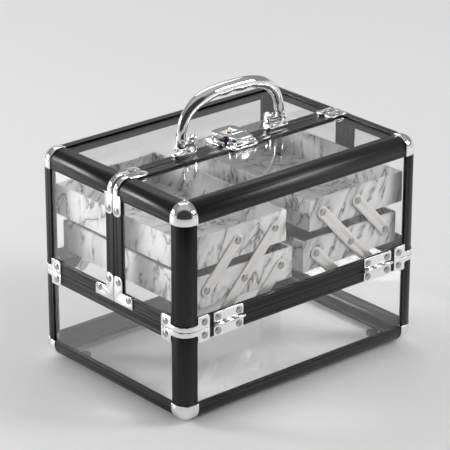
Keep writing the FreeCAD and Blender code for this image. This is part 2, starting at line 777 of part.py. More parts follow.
def handle_section(turn):
    """Closed rounded section across the arch, fuller at the grip and waved on its underside."""
    x, z = handle_middle(turn)
    step = 0.01
    ahead = handle_middle(min(turn + step, math.pi))
    behind = handle_middle(max(turn - step, 0.0))
    along = Vector(ahead[0] - behind[0], 0, ahead[1] - behind[1]).normalize()
    outward = Vector(along.z, 0, -along.x)
    fullness = smooth((HANDLE_SPAN / 2 - abs(x)) / (HANDLE_SPAN / 2) * 2.2)
    fade = smooth((FINGER_REACH - abs(x)) / FINGER_PITCH * 2)
    wave = FINGER_WAVE * fade * math.cos(2 * math.pi * x / FINGER_PITCH)
    deep = LEG_HALF[0] + (GRIP_HALF[0] - LEG_HALF[0]) * fullness - wave / 2
    wide = LEG_HALF[1] + (GRIP_HALF[1] - LEG_HALF[1]) * fullness
    centre = Vector(x, SPLIT_WIDTH / 2, z) + outward * (wave / 2)
    count = 12
    angles = [2 * math.pi * n / count for n in range(count)]
    points = [
        centre + outward * (deep * math.cos(a)) + Vector(0, wide * math.sin(a), 0) for a in angles
    ]
    curve = Part.BSplineCurve()
    curve.interpolate(Points=points, PeriodicFlag=True)
    return Part.Wire(curve.toShape())


def handle():
    """Arched handle with a flat-sided eye at the foot of each leg."""
    sections = 33
    turns = [math.pi * n / (sections - 1) for n in range(sections)]
    arch = Part.makeLoft([handle_section(turn) for turn in turns], True)
    eyes = []
    bores = []
    for side in (-1, 1):
        middle = Vector(side * HANDLE_SPAN / 2, SPLIT_WIDTH / 2, Z_TOP + HANDLE_PIVOT_HEIGHT)
        half = Vector(LEG_HALF[0], 0, 0)
        eyes.append(rod(middle - half, middle + half, HANDLE_EYE_RADIUS))
        bores.append(rod(middle - half * 2, middle + half * 2, HANDLE_PIN_RADIUS + RUNNING_PLAY))
    return arch.fuse(eyes).cut(bores)


HANDLE_EAR_END = HANDLE_SPAN / 2 - LEG_HALF[0] - HANDLE_SIDE_PLAY - HANDLE_BOSS
HANDLE_EAR_START = HANDLE_EAR_END - HANDLE_EAR
HANDLE_BASE_START = HANDLE_EAR_START - HANDLE_BASE_INNER
HANDLE_BASE_END = HANDLE_SPAN / 2 + LEG_HALF[0] + HANDLE_BASE_OUTER


def handle_bracket():
    """Right bracket: a base on the back split bar, and an ear with a boss and a stud."""
    y = SPLIT_WIDTH / 2
    axis = Z_TOP + HANDLE_PIVOT_HEIGHT
    ear = (HANDLE_EAR_START, HANDLE_EAR_END)
    base = box(
        (HANDLE_BASE_START, HANDLE_BASE_END),
        (y - HANDLE_BASE_WIDTH / 2, y + HANDLE_BASE_WIDTH / 2),
        (Z_TOP + SEAT, Z_TOP + SEAT + HANDLE_BASE),
    )
    base = soften(base, HANDLE_BASE_WIDTH / 3, lambda _, way: abs(way.z) > 0.5)
    top = axis + HANDLE_EAR_RISE
    web = box(ear, (y - HANDLE_EAR_RADIUS, y + HANDLE_EAR_RADIUS), (Z_TOP + SEAT, top))
    at = lambda x, z=axis: Vector(x, y, z)
    crown = rod(at(ear[0], top), at(ear[1], top), HANDLE_EAR_RADIUS)
    boss = rod(at(ear[1]), at(ear[1] + HANDLE_BOSS), HANDLE_BOSS_RADIUS)
    stud = rod(at(ear[1], top), at(ear[1] + HANDLE_STUD, top), HANDLE_STUD_RADIUS)
    hole = rod(at(0), at(HANDLE_SPAN / 2), HANDLE_PIN_RADIUS + SEAT)
    return base.fuse([web, crown, boss, stud]).cut(hole).removeSplitter()


def handle_pin():
    """Right pin: through the ear and the leg, with a head on each side."""
    y = SPLIT_WIDTH / 2
    axis = Z_TOP + HANDLE_PIVOT_HEIGHT
    inner = HANDLE_EAR_START
    outer = HANDLE_SPAN / 2 + LEG_HALF[0] + HANDLE_SIDE_PLAY
    at = lambda x: Vector(x, y, axis)
    shank = rod(at(inner), at(outer), HANDLE_PIN_RADIUS)
    inner_head = rod(at(inner - RIVET_HEAD_HEIGHT), at(inner), HANDLE_PIN_HEAD_RADIUS)
    outer_head = rod(at(outer), at(outer + RIVET_HEAD_HEIGHT), HANDLE_PIN_HEAD_RADIUS)
    outer_head = soften(
        outer_head,
        RIVET_HEAD_HEIGHT * 0.7,
        lambda middle, _: middle.x > outer + RIVET_HEAD_HEIGHT * 0.9,
    )
    return shank.fuse([inner_head, outer_head])


def handle_screw_places():
    """Two screws in the right bracket's base: under the boss, and outboard of the leg."""
    under = HANDLE_EAR_END + HANDLE_BOSS / 2
    outboard = HANDLE_BASE_END - HANDLE_BASE_OUTER / 2
    return [(Vector(x, SPLIT_WIDTH / 2, Z_TOP), UP) for x in (under, outboard)]


# ---- Latch and lock

LATCH_EDGE = SPLIT_GAP / 2 + LATCH_GAP  # from the split line to each latch half
HASP_AXIS_Z = Z_TOP + SEAT + LATCH_PLATE + HASP_LIFT + HASP_BARREL_RADIUS
HASP_AXIS = Vector(LATCH_X, -HASP_AXIS_Y, HASP_AXIS_Z)


def latch_screw_places():
    side = (HASP_WIDTH / 2 + LATCH_PLATE_WIDTH / 2) / 2
    y = -LATCH_PLATE_REACH * 0.4
    return [(Vector(LATCH_X + x, y, Z_TOP), UP) for x in (-side, side)]


def lock_screw_places():
    y = (LOCK_REACH + LOCK_PLATE_REACH) / 2
    return [(Vector(LATCH_X, y, Z_TOP), UP)]


def latch_plate():
    """Front latch plate with two lugs for the hasp's pin."""
    half = LATCH_PLATE_WIDTH / 2
    bottom = Z_TOP + SEAT
    plate = box(
        (LATCH_X - half, LATCH_X + half),
        (-LATCH_PLATE_REACH, -LATCH_EDGE),
        (bottom, bottom + LATCH_PLATE),
    )
    plate = soften(
        plate, LATCH_RADIUS, lambda middle, way: abs(way.z) > 0.5 and middle.y < -HASP_AXIS_Y
    )
    lugs = []
    for side in (-1, 1):
        start = HASP_AXIS + Vector(side * (HASP_WIDTH / 2 + KNUCKLE_GAP), 0, 0)
        end = start + Vector(side * HASP_LUG, 0, 0)
        lugs.append(rod(start, end, HASP_BARREL_RADIUS))
        y_range = (-HASP_AXIS_Y - HASP_BARREL_RADIUS, -HASP_AXIS_Y + HASP_BARREL_RADIUS)
        lugs.append(box((start.x, end.x), y_range, (bottom, HASP_AXIS.z)))
    return plate.fuse(lugs).cut(hasp_bore(SEAT)).removeSplitter()


def hasp_bore(play):
    reach = Vector(LATCH_PLATE_WIDTH, 0, 0)
    return rod(HASP_AXIS - reach, HASP_AXIS + reach, HASP_PIN_RADIUS + play)


def hasp_pin():
    reach = Vector(HASP_WIDTH / 2 + KNUCKLE_GAP + HASP_LUG, 0, 0)
    return rod(HASP_AXIS - reach, HASP_AXIS + reach, HASP_PIN_RADIUS)


def latch_hasp():
    """Square hasp block that flips up about its pin at its front end."""
    half = Vector(HASP_WIDTH / 2, 0, 0)
    barrel = rod(HASP_AXIS - half, HASP_AXIS + half, HASP_BARREL_RADIUS)
    block = box(
        (LATCH_X - half.x, LATCH_X + half.x),
        (-HASP_AXIS_Y, -LATCH_EDGE),
        (HASP_AXIS.z - HASP_BARREL_RADIUS, Z_TOP + LATCH_HEIGHT),
    )
    block = soften(
        block, LATCH_SOFTENING, lambda middle, _: middle.z > Z_TOP + LATCH_HEIGHT - 1e-6
    )
    return block.fuse(barrel).cut(hasp_bore(RUNNING_PLAY))


def plug_bore():
    start = Vector(LATCH_X, PLUG_Y, Z_TOP + LATCH_HEIGHT - PLUG_DEPTH)
    return rod(start, start + UP * LATCH_HEIGHT, PLUG_RADIUS + RUNNING_PLAY)


def lock_body():
    """Lock on the back half: a rounded plate, a body with an overhanging top, the plug's bore."""
    half = LOCK_PLATE_WIDTH / 2
    bottom = Z_TOP + SEAT
    top = Z_TOP + LATCH_HEIGHT
    plate = box(
        (LATCH_X - half, LATCH_X + half),
        (LATCH_EDGE, LOCK_PLATE_REACH),
        (bottom, bottom + LATCH_PLATE),
    )
    plate = soften(
        plate,
        LOCK_PLATE_RADIUS,
        lambda middle, way: abs(way.z) > 0.5 and middle.y > LOCK_PLATE_REACH - 1e-6,
    )
    blocks = []
    for inset, z_range in ((0, (top - LOCK_SLAB, top)), (LOCK_NECK_INSET, (bottom, top - LOCK_SLAB))):
        reach = LOCK_REACH - inset
        across = LOCK_WIDTH / 2 - inset
        block = box((LATCH_X - across, LATCH_X + across), (LATCH_EDGE, reach), z_range)
        block = soften(
            block,
            LOCK_RADIUS - inset,
            lambda middle, way: abs(way.z) > 0.5 and middle.y > reach - 1e-6,
        )
        blocks.append(block)
    slab, neck = blocks
    slab = soften(slab, LATCH_SOFTENING, lambda middle, _: middle.z > top - 1e-6)
    return plate.fuse([slab, neck]).cut(plug_bore()).removeSplitter()


def lock_plug():
    """Brass key plug with its slot."""
    top = Z_TOP + LATCH_HEIGHT + PLUG_PROUD
    bottom = Vector(LATCH_X, PLUG_Y, Z_TOP + LATCH_HEIGHT - PLUG_DEPTH + RUNNING_PLAY)
    plug = rod(bottom, Vector(LATCH_X, PLUG_Y, top), PLUG_RADIUS)
    width, length, depth = KEY_SLOT
    slot = box(
        (LATCH_X - width / 2, LATCH_X + width / 2),
        (PLUG_Y - length / 2, PLUG_Y + length / 2),
        (top - depth, top + depth),
    )
    return plug.cut(slot)


def rubber_foot():
    """Front left foot, stuck under the bottom panel."""
    low = Vector(FOOT_INSET_X - HALF_X, FOOT_INSET_Y - HALF_Y, 0)
    foot = rod(low, low + UP * (Z_BOTTOM + PANEL_SKIN), FOOT_RADIUS)
    return soften(foot, FOOT_EDGE_RADIUS, lambda middle, _: middle.z < 1e-6)


# ---- Base

post_height = (Z_BOTTOM + RAIL_LEG, below_seam(0))
bottom_rails = front_and_back([rail_along_x(above_bottom)])
bottom_rails += left_and_right([rail_along_y(above_bottom, HALF_Y - RAIL_LEG)])
rim_rails = front_and_back([rim_along_x(below_seam)])
rim_rails += left_and_right([rim_along_y(below_seam, HALF_Y - POST_LEG)])

lid_corner_rivets, lid_corner_holes = riveted(bracket_rivet_places(), PLATE)
base_corner_rivets = [mirror_z(piece, Z_SEAM) for piece in lid_corner_rivets]
base_corner_holes = [mirror_z(hole, Z_SEAM) for hole in lid_corner_holes]
base_hinge_rivets, base_hinge_holes = riveted(hinge_rivet_places(-1), HINGE_LEAF)
base_holes = four_corners(base_corner_holes + base_hinge_holes)

feet_pivots = [LONG_PIVOTS[0], LOWER_SHORT_PIVOTS[0]]
pivot_holes = four_corners([foot_hole(pivot) for pivot in feet_pivots])

save("base_bottom_rails", cut_each(bottom_rails, base_slots))
save("base_rim_rails", cut_each(rim_rails, base_slots + base_holes + pivot_holes))
save("base_corner_posts", cut_each(four_corners([corner_post(post_height)]), base_slots))
save("base_ball_corners", cut_each(four_corners([ball_corner()]), base_slots))
save("base_rim_brackets", cut_each(four_corners([mirror_z(rim_bracket(), Z_SEAM)]), base_holes))
save("base_front_panel", [base_front_panel])
save("base_back_panel", [mirror_y(base_front_panel)])
save("base_left_panel", [base_left_panel])
save("base_right_panel", [mirror_x(base_left_panel)])
save("base_bottom_panel", [base_bottom_panel])
save("rubber_feet", four_corners([rubber_foot()]))
save("hinge_base_leaves", cut_each(four_corners([hinge_leaf("base")]), base_holes))
save("hinge_pins", four_corners([hinge_pin()]))
save("base_rivets", four_corners(base_corner_rivets + base_hinge_rivets))
save("tray_pivot_spacers", four_corners([foot_spacer(pivot) for pivot in feet_pivots]))


# ---- Lid halves: both are drawn as a front half, and the back one is then mirrored


def lid_half(split):
    """Nodes of the half in front of a split line at y = split, without holes for the hardware."""
    span_y = (PANEL_INSET - HALF_Y, split + PANEL_HOLD - SPLIT_WIDTH)
    long_panel = panel_behind(-HALF_Y, SPAN_X, SPAN_LID_Z)
    side_panels = left_and_right([panel_beside(-HALF_X, span_y, SPAN_LID_Z)])
    top_panel = box(SPAN_X, span_y, (Z_TOP - PANEL_SKIN - PANEL_THICKNESS, Z_TOP - PANEL_SKIN))
    slots = [slot_for(panel) for panel in side_panels + [long_panel, top_panel]]

    split_edge = split - SPLIT_GAP / 2
    post_height = (above_seam(0), Z_TOP - RAIL_LEG)
    split_post = box((-HALF_X, FRAME_WALL - HALF_X), (split - SPLIT_WIDTH, split_edge), post_height)
    split_post = soften(
        split_post,
        SPLIT_EDGE_RADIUS,
        lambda middle, way: abs(way.z) > 0.5 and middle.x < 1e-6 - HALF_X,
    )
    split_bar = box(
        (RAIL_LEG - HALF_X, HALF_X - RAIL_LEG),
        (split - SPLIT_WIDTH, split_edge),
        (Z_TOP - FRAME_WALL, Z_TOP),
    )
    split_bar = soften(
        split_bar,
        SPLIT_EDGE_RADIUS,
        lambda middle, way: abs(way.x) > 0.5 and middle.z > Z_TOP - 1e-6,
    )
    top_rails = [rail_along_x(below_top)] + left_and_right([rail_along_y(below_top, split_edge)])
    rims = [rim_along_x(above_seam)]
    rims += left_and_right([rim_along_y(above_seam, split - SPLIT_WIDTH)])
    corners = left_and_right([mirror_z(ball_corner(), (Z_BOTTOM + Z_TOP) / 2)])

    plates = fan_rivet_places(split) + saddle_rivet_places(split)
    plate_rivets, plate_holes = riveted(plates, PLATE)
    hinge_rivets, hinge_holes = riveted(hinge_rivet_places(1), HINGE_LEAF)
    holes = left_and_right(lid_corner_holes + plate_holes + hinge_holes)
    return {
        "top_rails": cut_each(top_rails, slots + holes),
        "corner_posts": cut_each(left_and_right([corner_post(post_height)]), slots),
        "rim_rails": cut_each(rims, slots + holes),
        "split_posts": cut_each(left_and_right([split_post]), slots + holes),
        "split_bar": cut_each([split_bar], slots + holes),
        "ball_corners": cut_each(corners, slots),
        "rim_brackets": cut_each(left_and_right([rim_bracket()]), holes),
        "fan_brackets": cut_each(left_and_right([fan_bracket(split)]), holes),
        "saddle_brackets": cut_each(left_and_right([saddle_bracket(split)]), holes),
        "long_panel": [long_panel],
        "top_panel": [top_panel],
        "side_panels": side_panels,
        "hinge_leaves": cut_each(left_and_right([hinge_leaf("lid")]), holes),
        "rivets": left_and_right(lid_corner_rivets + plate_rivets + hinge_rivets),
    }


latch_screws, latch_holes = riveted(latch_screw_places(), LATCH_PLATE, SCREW_HEAD_RADIUS)
lock_screws, lock_holes = riveted(lock_screw_places(), LATCH_PLATE, SCREW_HEAD_RADIUS)
bracket_screws, bracket_holes = riveted(handle_screw_places(), HANDLE_BASE, SCREW_HEAD_RADIUS)
front_holes = at_split(latch_holes)
back_holes = at_split(lock_holes + left_and_right(bracket_holes))

front_half = lid_half(SPLIT_Y)
back_half = lid_half(-SPLIT_Y)
for part, shapes in front_half.items():
    front = cut_each(shapes, front_holes) if part == "split_bar" else shapes
    back = [mirror_y(shape) for shape in back_half[part]]
    back = cut_each(back, back_holes) if part in ("split_bar", "top_panel") else back
    if part == "rivets":
        front = front + at_split(latch_screws)
        back = back + at_split(lock_screws + left_and_right(bracket_screws))
    save(f"front_lid_{part}", front)
    save(f"back_lid_{part}", back)


# ---- Handle and latch

bracket = cut_each([handle_bracket()], bracket_holes)
save("handle_brackets", at_split(left_and_right(bracket + [handle_pin()])))
save("handle", at_split([handle()]))
save("latch_plate", at_split(cut_each([latch_plate()], latch_holes) + [hasp_pin()]))
save("latch_hasp", at_split([latch_hasp()]))
save("lock_body", at_split(cut_each([lock_body()], lock_holes)))
save("lock_plug", at_split([lock_plug()]))


# ---- Tray banks: the right one is drawn, and the left one is its mirror

bank = {
    "upper_tray": [tray(UPPER_TRAY_INSET, [LONG_PIVOTS[2], UPPER_SHORT_PIVOTS[1]])],
    "lower_tray": [
        tray(LOWER_TRAY_INSET, [LONG_PIVOTS[1], LOWER_SHORT_PIVOTS[1], UPPER_SHORT_PIVOTS[0]])
    ],
    "long_arms": front_and_back(
        [arm(LONG_PIVOTS), foot_rivet(LONG_PIVOTS[0])] + [tray_rivet(p) for p in LONG_PIVOTS[1:]]
    ),
    "lower_short_arms": front_and_back(
        [
            arm(LOWER_SHORT_PIVOTS),
            foot_rivet(LOWER_SHORT_PIVOTS[0]),
            tray_rivet(LOWER_SHORT_PIVOTS[1]),
        ]
    ),
    "upper_short_arms": front_and_back(
        [arm(UPPER_SHORT_PIVOTS)] + [tray_rivet(p) for p in UPPER_SHORT_PIVOTS]
    ),
}
for part, shapes in bank.items():
    save(f"right_{part}", shapes)
    save(f"left_{part}", [mirror_x(shape) for shape in shapes])
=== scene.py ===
# %% [markdown]
# # A clear make-up train case
# This lesson dresses a case whose pieces already have their real size and place. A black aluminium
# frame holds clear acrylic, the hardware is chrome, and four marbled trays hang inside on flat
# arms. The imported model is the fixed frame: it is loaded first, and nothing in it is moved.

# %% Load the frame
import json
import math

import bmesh
import bpy
from mathutils import Matrix, Vector


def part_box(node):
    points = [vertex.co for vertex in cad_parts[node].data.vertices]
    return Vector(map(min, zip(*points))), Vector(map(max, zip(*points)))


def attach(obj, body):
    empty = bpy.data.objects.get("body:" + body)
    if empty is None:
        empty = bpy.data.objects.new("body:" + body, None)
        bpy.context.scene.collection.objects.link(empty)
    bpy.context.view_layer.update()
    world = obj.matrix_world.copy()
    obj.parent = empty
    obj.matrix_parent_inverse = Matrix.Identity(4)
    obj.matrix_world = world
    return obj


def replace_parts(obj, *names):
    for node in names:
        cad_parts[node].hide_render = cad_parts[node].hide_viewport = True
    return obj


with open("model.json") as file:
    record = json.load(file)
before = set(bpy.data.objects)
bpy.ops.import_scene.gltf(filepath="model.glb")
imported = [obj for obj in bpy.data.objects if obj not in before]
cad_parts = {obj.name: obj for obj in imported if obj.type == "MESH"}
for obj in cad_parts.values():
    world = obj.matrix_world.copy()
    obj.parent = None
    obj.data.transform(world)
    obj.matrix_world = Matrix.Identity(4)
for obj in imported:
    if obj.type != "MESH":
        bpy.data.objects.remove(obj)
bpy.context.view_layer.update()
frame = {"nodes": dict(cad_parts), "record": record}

MM = 0.001
scene = bpy.context.scene
SLOT_OF = {part["node"]: part["material_slot"] for part in frame["record"]["subparts"]}
BODY_OF = {
    node: body for body, nodes in frame["record"]["behaviour"]["bodies"].items() for node in nodes
}

# %% [markdown]
# ## The camera
# The case is seen from above its front left corner with a long lens, so its edges stay nearly
# parallel. The camera stands at a given place and is turned by the direction from which it looks
# back at the case. A small shift centres the case without turning the camera. The Standard view
# shows every colour as it is mixed, where a filmic one would grey the whites.

# %% Camera
VIEW_AZIMUTH = math.radians(-40.61)
VIEW_ELEVATION = math.radians(22.39)
VIEW_PLACE = (-1.2427, -1.4381, 0.8979)
LENS = 201.8
SENSOR_WIDTH = 36.0
SHIFT_SIDEWAYS = 0.0084
SHIFT_UP = -0.0135

camera_data = bpy.data.cameras.new("view")
camera_data.lens = LENS
camera_data.sensor_width = SENSOR_WIDTH
camera_data.shift_x = SHIFT_SIDEWAYS
camera_data.shift_y = SHIFT_UP
camera = bpy.data.objects.new("view", camera_data)
looking_back = Vector(
    (
        math.sin(VIEW_AZIMUTH) * math.cos(VIEW_ELEVATION),
        -math.cos(VIEW_AZIMUTH) * math.cos(VIEW_ELEVATION),
        math.sin(VIEW_ELEVATION),
    )
)
camera.location = VIEW_PLACE
camera.rotation_euler = looking_back.to_track_quat("Z", "Y").to_euler()
scene.collection.objects.link(camera)
scene.camera = camera
scene.view_settings.view_transform = "Standard"
print("camera", [round(value, 3) for value in camera.location])

# %% [markdown]
# ## First tools: a material and a piece
# Every material starts as one Principled shader with a colour and a roughness, and every new
# piece starts as a bmesh, Blender's editable mesh. A pattern may later take over the colour or
# the roughness. A new object sits at the origin with its place in its mesh, so a pattern that
# follows Object coordinates has the same scale on every piece.

# %% A material and a piece


def plain_material(name, color, roughness):
    """A material with one Principled shader; returns it with its nodes, links and shader."""
    material = bpy.data.materials.new(name)
    material.use_nodes = True
    nodes = material.node_tree.nodes
    shader = nodes["Principled BSDF"]
    shader.inputs["Base Color"].default_value = (*color, 1.0)
    shader.inputs["Roughness"].default_value = roughness
    return material, nodes, material.node_tree.links, shader


def add_piece(name, code, material):
    """Turn a bmesh into an object that sits at the origin and wears one material."""
    mesh = bpy.data.meshes.new(name)
    code.to_mesh(mesh)
    code.free()
    mesh.materials.append(material)
    piece = bpy.data.objects.new(name, mesh)
    scene.collection.objects.link(piece)
    return piece


print("first tools", plain_material.__name__, add_piece.__name__)

# %% [markdown]
# ## Pattern tools
# Nearly every finish varies a little over its surface. Five small steps make all the patterns
# here: where the pattern lies, a noise, one piece of arithmetic, a range mapped onto another, and
# a mix of two colours. Each step places its node and hands out a socket, so the steps read like
# ordinary function calls.

# %% Where a pattern lies, and its noise
EVEN = (1.0, 1.0, 1.0)


def object_pattern(nodes, links, scale, turn=(0.0, 0.0, 0.0), place=(0.0, 0.0, 0.0)):
    """Object coordinates read from place, turned and stretched; grain runs along turned axes."""
    coordinates = nodes.new("ShaderNodeTexCoord")
    mapping = nodes.new("ShaderNodeMapping")
    mapping.vector_type = "TEXTURE"
    mapping.inputs["Location"].default_value = place
    mapping.inputs["Rotation"].default_value = turn
    mapping.inputs["Scale"].default_value = scale
    links.new(coordinates.outputs["Object"], mapping.inputs["Vector"])
    return mapping.outputs["Vector"]


def noise_at(nodes, links, vector, scale, detail=2.0, roughness=0.5, distortion=0.0):
    """A noise read at vector; its mean is near 0.5."""
    noise = nodes.new("ShaderNodeTexNoise")
    noise.inputs["Scale"].default_value = scale
    noise.inputs["Detail"].default_value = detail
    noise.inputs["Roughness"].default_value = roughness
    noise.inputs["Distortion"].default_value = distortion
    links.new(vector, noise.inputs["Vector"])
    return noise.outputs["Fac"]


print("pattern tools", object_pattern.__name__, noise_at.__name__)

# %% [markdown]
# ## Arithmetic, ranges and mixes
# A noise rarely has the values that a finish wants. Arithmetic folds it, a range stretches one
# part of it over the wanted values, and a mix turns it into colour. A relief tilts the surface
# as if it went in and out by a fraction of a millimetre, which only the light shows.

# %% Arithmetic, ranges and mixes


def math_step(nodes, links, operation, first, second=None):
    """One step of arithmetic; second is a socket, a number, or nothing."""
    step = nodes.new("ShaderNodeMath")
    step.operation = operation
    links.new(first, step.inputs[0])
    if isinstance(second, float):
        step.inputs[1].default_value = second
    elif second is not None:
        links.new(second, step.inputs[1])
    return step.outputs["Value"]


def map_range(nodes, links, value, source, target, eased=False):
    """Map the source range of a value onto the target range, with eased ends where asked."""
    step = nodes.new("ShaderNodeMapRange")
    if eased:
        step.interpolation_type = "SMOOTHSTEP"
    for range_name, (lowest, highest) in (("From", source), ("To", target)):
        step.inputs[range_name + " Min"].default_value = lowest
        step.inputs[range_name + " Max"].default_value = highest
    links.new(value, step.inputs["Value"])
    return step.outputs["Result"]


def blend_colors(nodes, links, factor, first, second):
    """Mix two colours; each is a colour or the socket of an earlier step."""
    mix = nodes.new("ShaderNodeMix")
    mix.data_type = "RGBA"
    links.new(factor, mix.inputs["Factor"])
    for socket_name, value in (("A", first), ("B", second)):
        if isinstance(value, tuple):
            mix.inputs[socket_name].default_value = value
        else:
            links.new(value, mix.inputs[socket_name])
    return mix.outputs["Result"]


def add_relief(nodes, links, shader, height, strength, distance):
    """Let a pattern tilt the surface, as a relief of this distance would."""
    bump = nodes.new("ShaderNodeBump")
    bump.inputs["Strength"].default_value = strength
    bump.inputs["Distance"].default_value = distance
    links.new(height, bump.inputs["Height"])
    links.new(bump.outputs["Normal"], shader.inputs["Normal"])


print("mixing tools", math_step.__name__, map_range.__name__, blend_colors.__name__)

# %% [markdown]
# ## The floor
# The floor is a large pale sheet, so that it reaches behind the case as far as the camera sees,
# and it keeps the soft shadow that makes the case stand. A slow, faint mottle stops it looking
# like a flat fill.

# %% Floor
FLOOR_HALF_WIDTH = 6.0
FLOOR_DULLER = (0.78, 0.78, 0.785, 1.0)
FLOOR_LIGHTER = (0.82, 0.82, 0.82, 1.0)
FLOOR_ROUGHNESS = 0.5
MOTTLES_PER_METRE = 2.0

floor_material, nodes, links, shader = plain_material(
    "pale_floor", FLOOR_LIGHTER[:3], FLOOR_ROUGHNESS
)
mottle = noise_at(nodes, links, object_pattern(nodes, links, EVEN), MOTTLES_PER_METRE)
floor_color = blend_colors(nodes, links, mottle, FLOOR_DULLER, FLOOR_LIGHTER)
links.new(floor_color, shader.inputs["Base Color"])
floor_code = bmesh.new()
bmesh.ops.create_grid(floor_code, x_segments=1, y_segments=1, size=FLOOR_HALF_WIDTH)
add_piece("floor", floor_code, floor_material)
print("floor", 2 * FLOOR_HALF_WIDTH, "m wide")

# %% [markdown]
# ## The lamps
# Clear and chromed things show their surroundings, so the studio is part of the finish. A small
# strong lamp stands low behind the case on the left, where a window would be, and draws the
# bright streaks on the rounded rails. A second one in front on the right draws the softer sheen
# along the front rails, and a wide weak one lifts the back.

# %% Lamps
LAMP_TARGET = Vector((0.0, 0.0, 0.1))
LAMPS = {
    "window_lamp": {"place": (-1.3, 1.6, 0.66), "width": 0.6, "height": 0.5, "watts": 27.0},
    "front_lamp": {"place": (1.32, -1.32, 1.27), "width": 0.7, "height": 0.5, "watts": 19.0},
    "back_lamp": {"place": (0.9, 1.5, 1.7), "width": 1.4, "height": 0.8, "watts": 7.0},
}


def soft_lamp(name, place, width, height, watts):
    """A rectangular area lamp that faces the case."""
    lamp_data = bpy.data.lights.new(name, "AREA")
    lamp_data.shape = "RECTANGLE"
    lamp_data.size = width
    lamp_data.size_y = height
    lamp_data.energy = watts
    lamp = bpy.data.objects.new(name, lamp_data)
    lamp.location = place
    lamp.rotation_euler = (Vector(place) - LAMP_TARGET).to_track_quat("Z", "Y").to_euler()
    scene.collection.objects.link(lamp)


for lamp_name, lamp_values in LAMPS.items():
    soft_lamp(lamp_name, **lamp_values)
print("lamps", len(bpy.data.lights))

# %% [markdown]
# ## The world, as it is seen
# The world is pale near the horizon, dark grey where walls would be, and a middle grey overhead.
# The side that faces the case's front left corner is darker still, like the unlit half of a
# room. Chrome needs those dark parts, or it turns as white as the floor. The colour comes from
# the height of the direction in which a ray leaves, and the dark half from how far that
# direction points towards the room.

# %% World colours
HORIZON_GREY = (0.82, 0.82, 0.825, 1.0)
HORIZON_HEIGHT = 0.08
WALL_GREY = (0.28, 0.28, 0.285, 1.0)
WALL_HEIGHTS = (0.26, 0.62)
CEILING_GREY = (0.5, 0.5, 0.5, 1.0)
CEILING_HEIGHT = 0.9
ROOM_DARK = (0.045, 0.045, 0.047, 1.0)
ROOM_DIRECTION = (-0.64, -0.74, 0.2)
ROOM_EDGE = (0.3, 0.62)

world = bpy.data.worlds.new("studio")
scene.world = world
world.use_nodes = True
nodes = world.node_tree.nodes
links = world.node_tree.links
direction = nodes.new("ShaderNodeTexCoord").outputs["Generated"]
height_of = nodes.new("ShaderNodeSeparateXYZ")
links.new(direction, height_of.inputs["Vector"])
backdrop = nodes.new("ShaderNodeValToRGB")
links.new(height_of.outputs["Z"], backdrop.inputs["Fac"])
lowest, highest = backdrop.color_ramp.elements
lowest.position = HORIZON_HEIGHT
lowest.color = HORIZON_GREY
highest.position = CEILING_HEIGHT
highest.color = CEILING_GREY
for wall_height in WALL_HEIGHTS:
    backdrop.color_ramp.elements.new(wall_height).color = WALL_GREY
towards_room = nodes.new("ShaderNodeVectorMath")
towards_room.operation = "DOT_PRODUCT"
towards_room.inputs[1].default_value = ROOM_DIRECTION
links.new(direction, towards_room.inputs[0])
in_room = map_range(nodes, links, towards_room.outputs["Value"], ROOM_EDGE, (0.0, 1.0), eased=True)
seen_color = blend_colors(nodes, links, in_room, backdrop.outputs["Color"], ROOM_DARK)
seen = nodes["Background"]
links.new(seen_color, seen.inputs["Color"])
print("world stops", len(backdrop.color_ramp.elements))

# %% [markdown]
# ## The world, as it lights
# The world above is shown at full strength only where it is seen: directly, in metal, or through
# glass. Everything else is lit by a plain white world at half strength. Light Path tells the two
# kinds of ray apart, so what the metal mirrors and what the shadows show are set separately.

# %% World light
WORLD_LIGHT = 0.5
WHITE = (1.0, 1.0, 1.0, 1.0)

lighting = nodes.new("ShaderNodeBackground")
lighting.inputs["Color"].default_value = WHITE
lighting.inputs["Strength"].default_value = WORLD_LIGHT
rays = nodes.new("ShaderNodeLightPath").outputs
is_seen = math_step(nodes, links, "MAXIMUM", rays["Is Camera Ray"], rays["Is Glossy Ray"])
is_seen = math_step(nodes, links, "MAXIMUM", is_seen, rays["Is Transmission Ray"])
choice = nodes.new("ShaderNodeMixShader")
links.new(is_seen, choice.inputs["Fac"])
links.new(lighting.outputs["Background"], choice.inputs[1])
links.new(seen.outputs["Background"], choice.inputs[2])
links.new(choice.outputs["Shader"], nodes["World Output"].inputs["Surface"])
print("world light", WORLD_LIGHT)

# %% [markdown]
# ## Effects that several finishes share
# Drawn and brushed metal carries fine lines along one direction. Handled, polished surfaces carry
# faint marks that only show in their gloss. Each effect is a node group with named sockets, so
# one recipe serves several materials, each with its own values.

# %% Group tools


def effect_group(name, inputs, outputs):
    """An empty shader group; inputs maps a socket name to its type and default."""
    group = bpy.data.node_groups.new(name, "ShaderNodeTree")
    for socket_name, (socket_type, default) in inputs.items():
        socket = group.interface.new_socket(
            name=socket_name, in_out="INPUT", socket_type="NodeSocket" + socket_type
        )
        if default is not None:
            socket.default_value = default
    for socket_name in outputs:
        group.interface.new_socket(
            name=socket_name, in_out="OUTPUT", socket_type="NodeSocketFloat"
        )
    return group, group.nodes.new("NodeGroupInput"), group.nodes.new("NodeGroupOutput")


def use_group(nodes, links, group, vector, **values):
    """Place a group in a material, read at vector, with its own values; returns its outputs."""
    node = nodes.new("ShaderNodeGroup")
    node.node_tree = group
    links.new(vector, node.inputs["Vector"])
    for socket_name, value in values.items():
        node.inputs[socket_name].default_value = value
    return node.outputs


def gloss_between(group, given, noise, source):
    """Inside a group: map a noise onto the gloss values that the material gives it."""
    gloss = map_range(group.nodes, group.links, noise, source, (0.0, 1.0))
    group.links.new(given.outputs["Smoothest"], gloss.node.inputs["To Min"])
    group.links.new(given.outputs["Dullest"], gloss.node.inputs["To Max"])
    return gloss


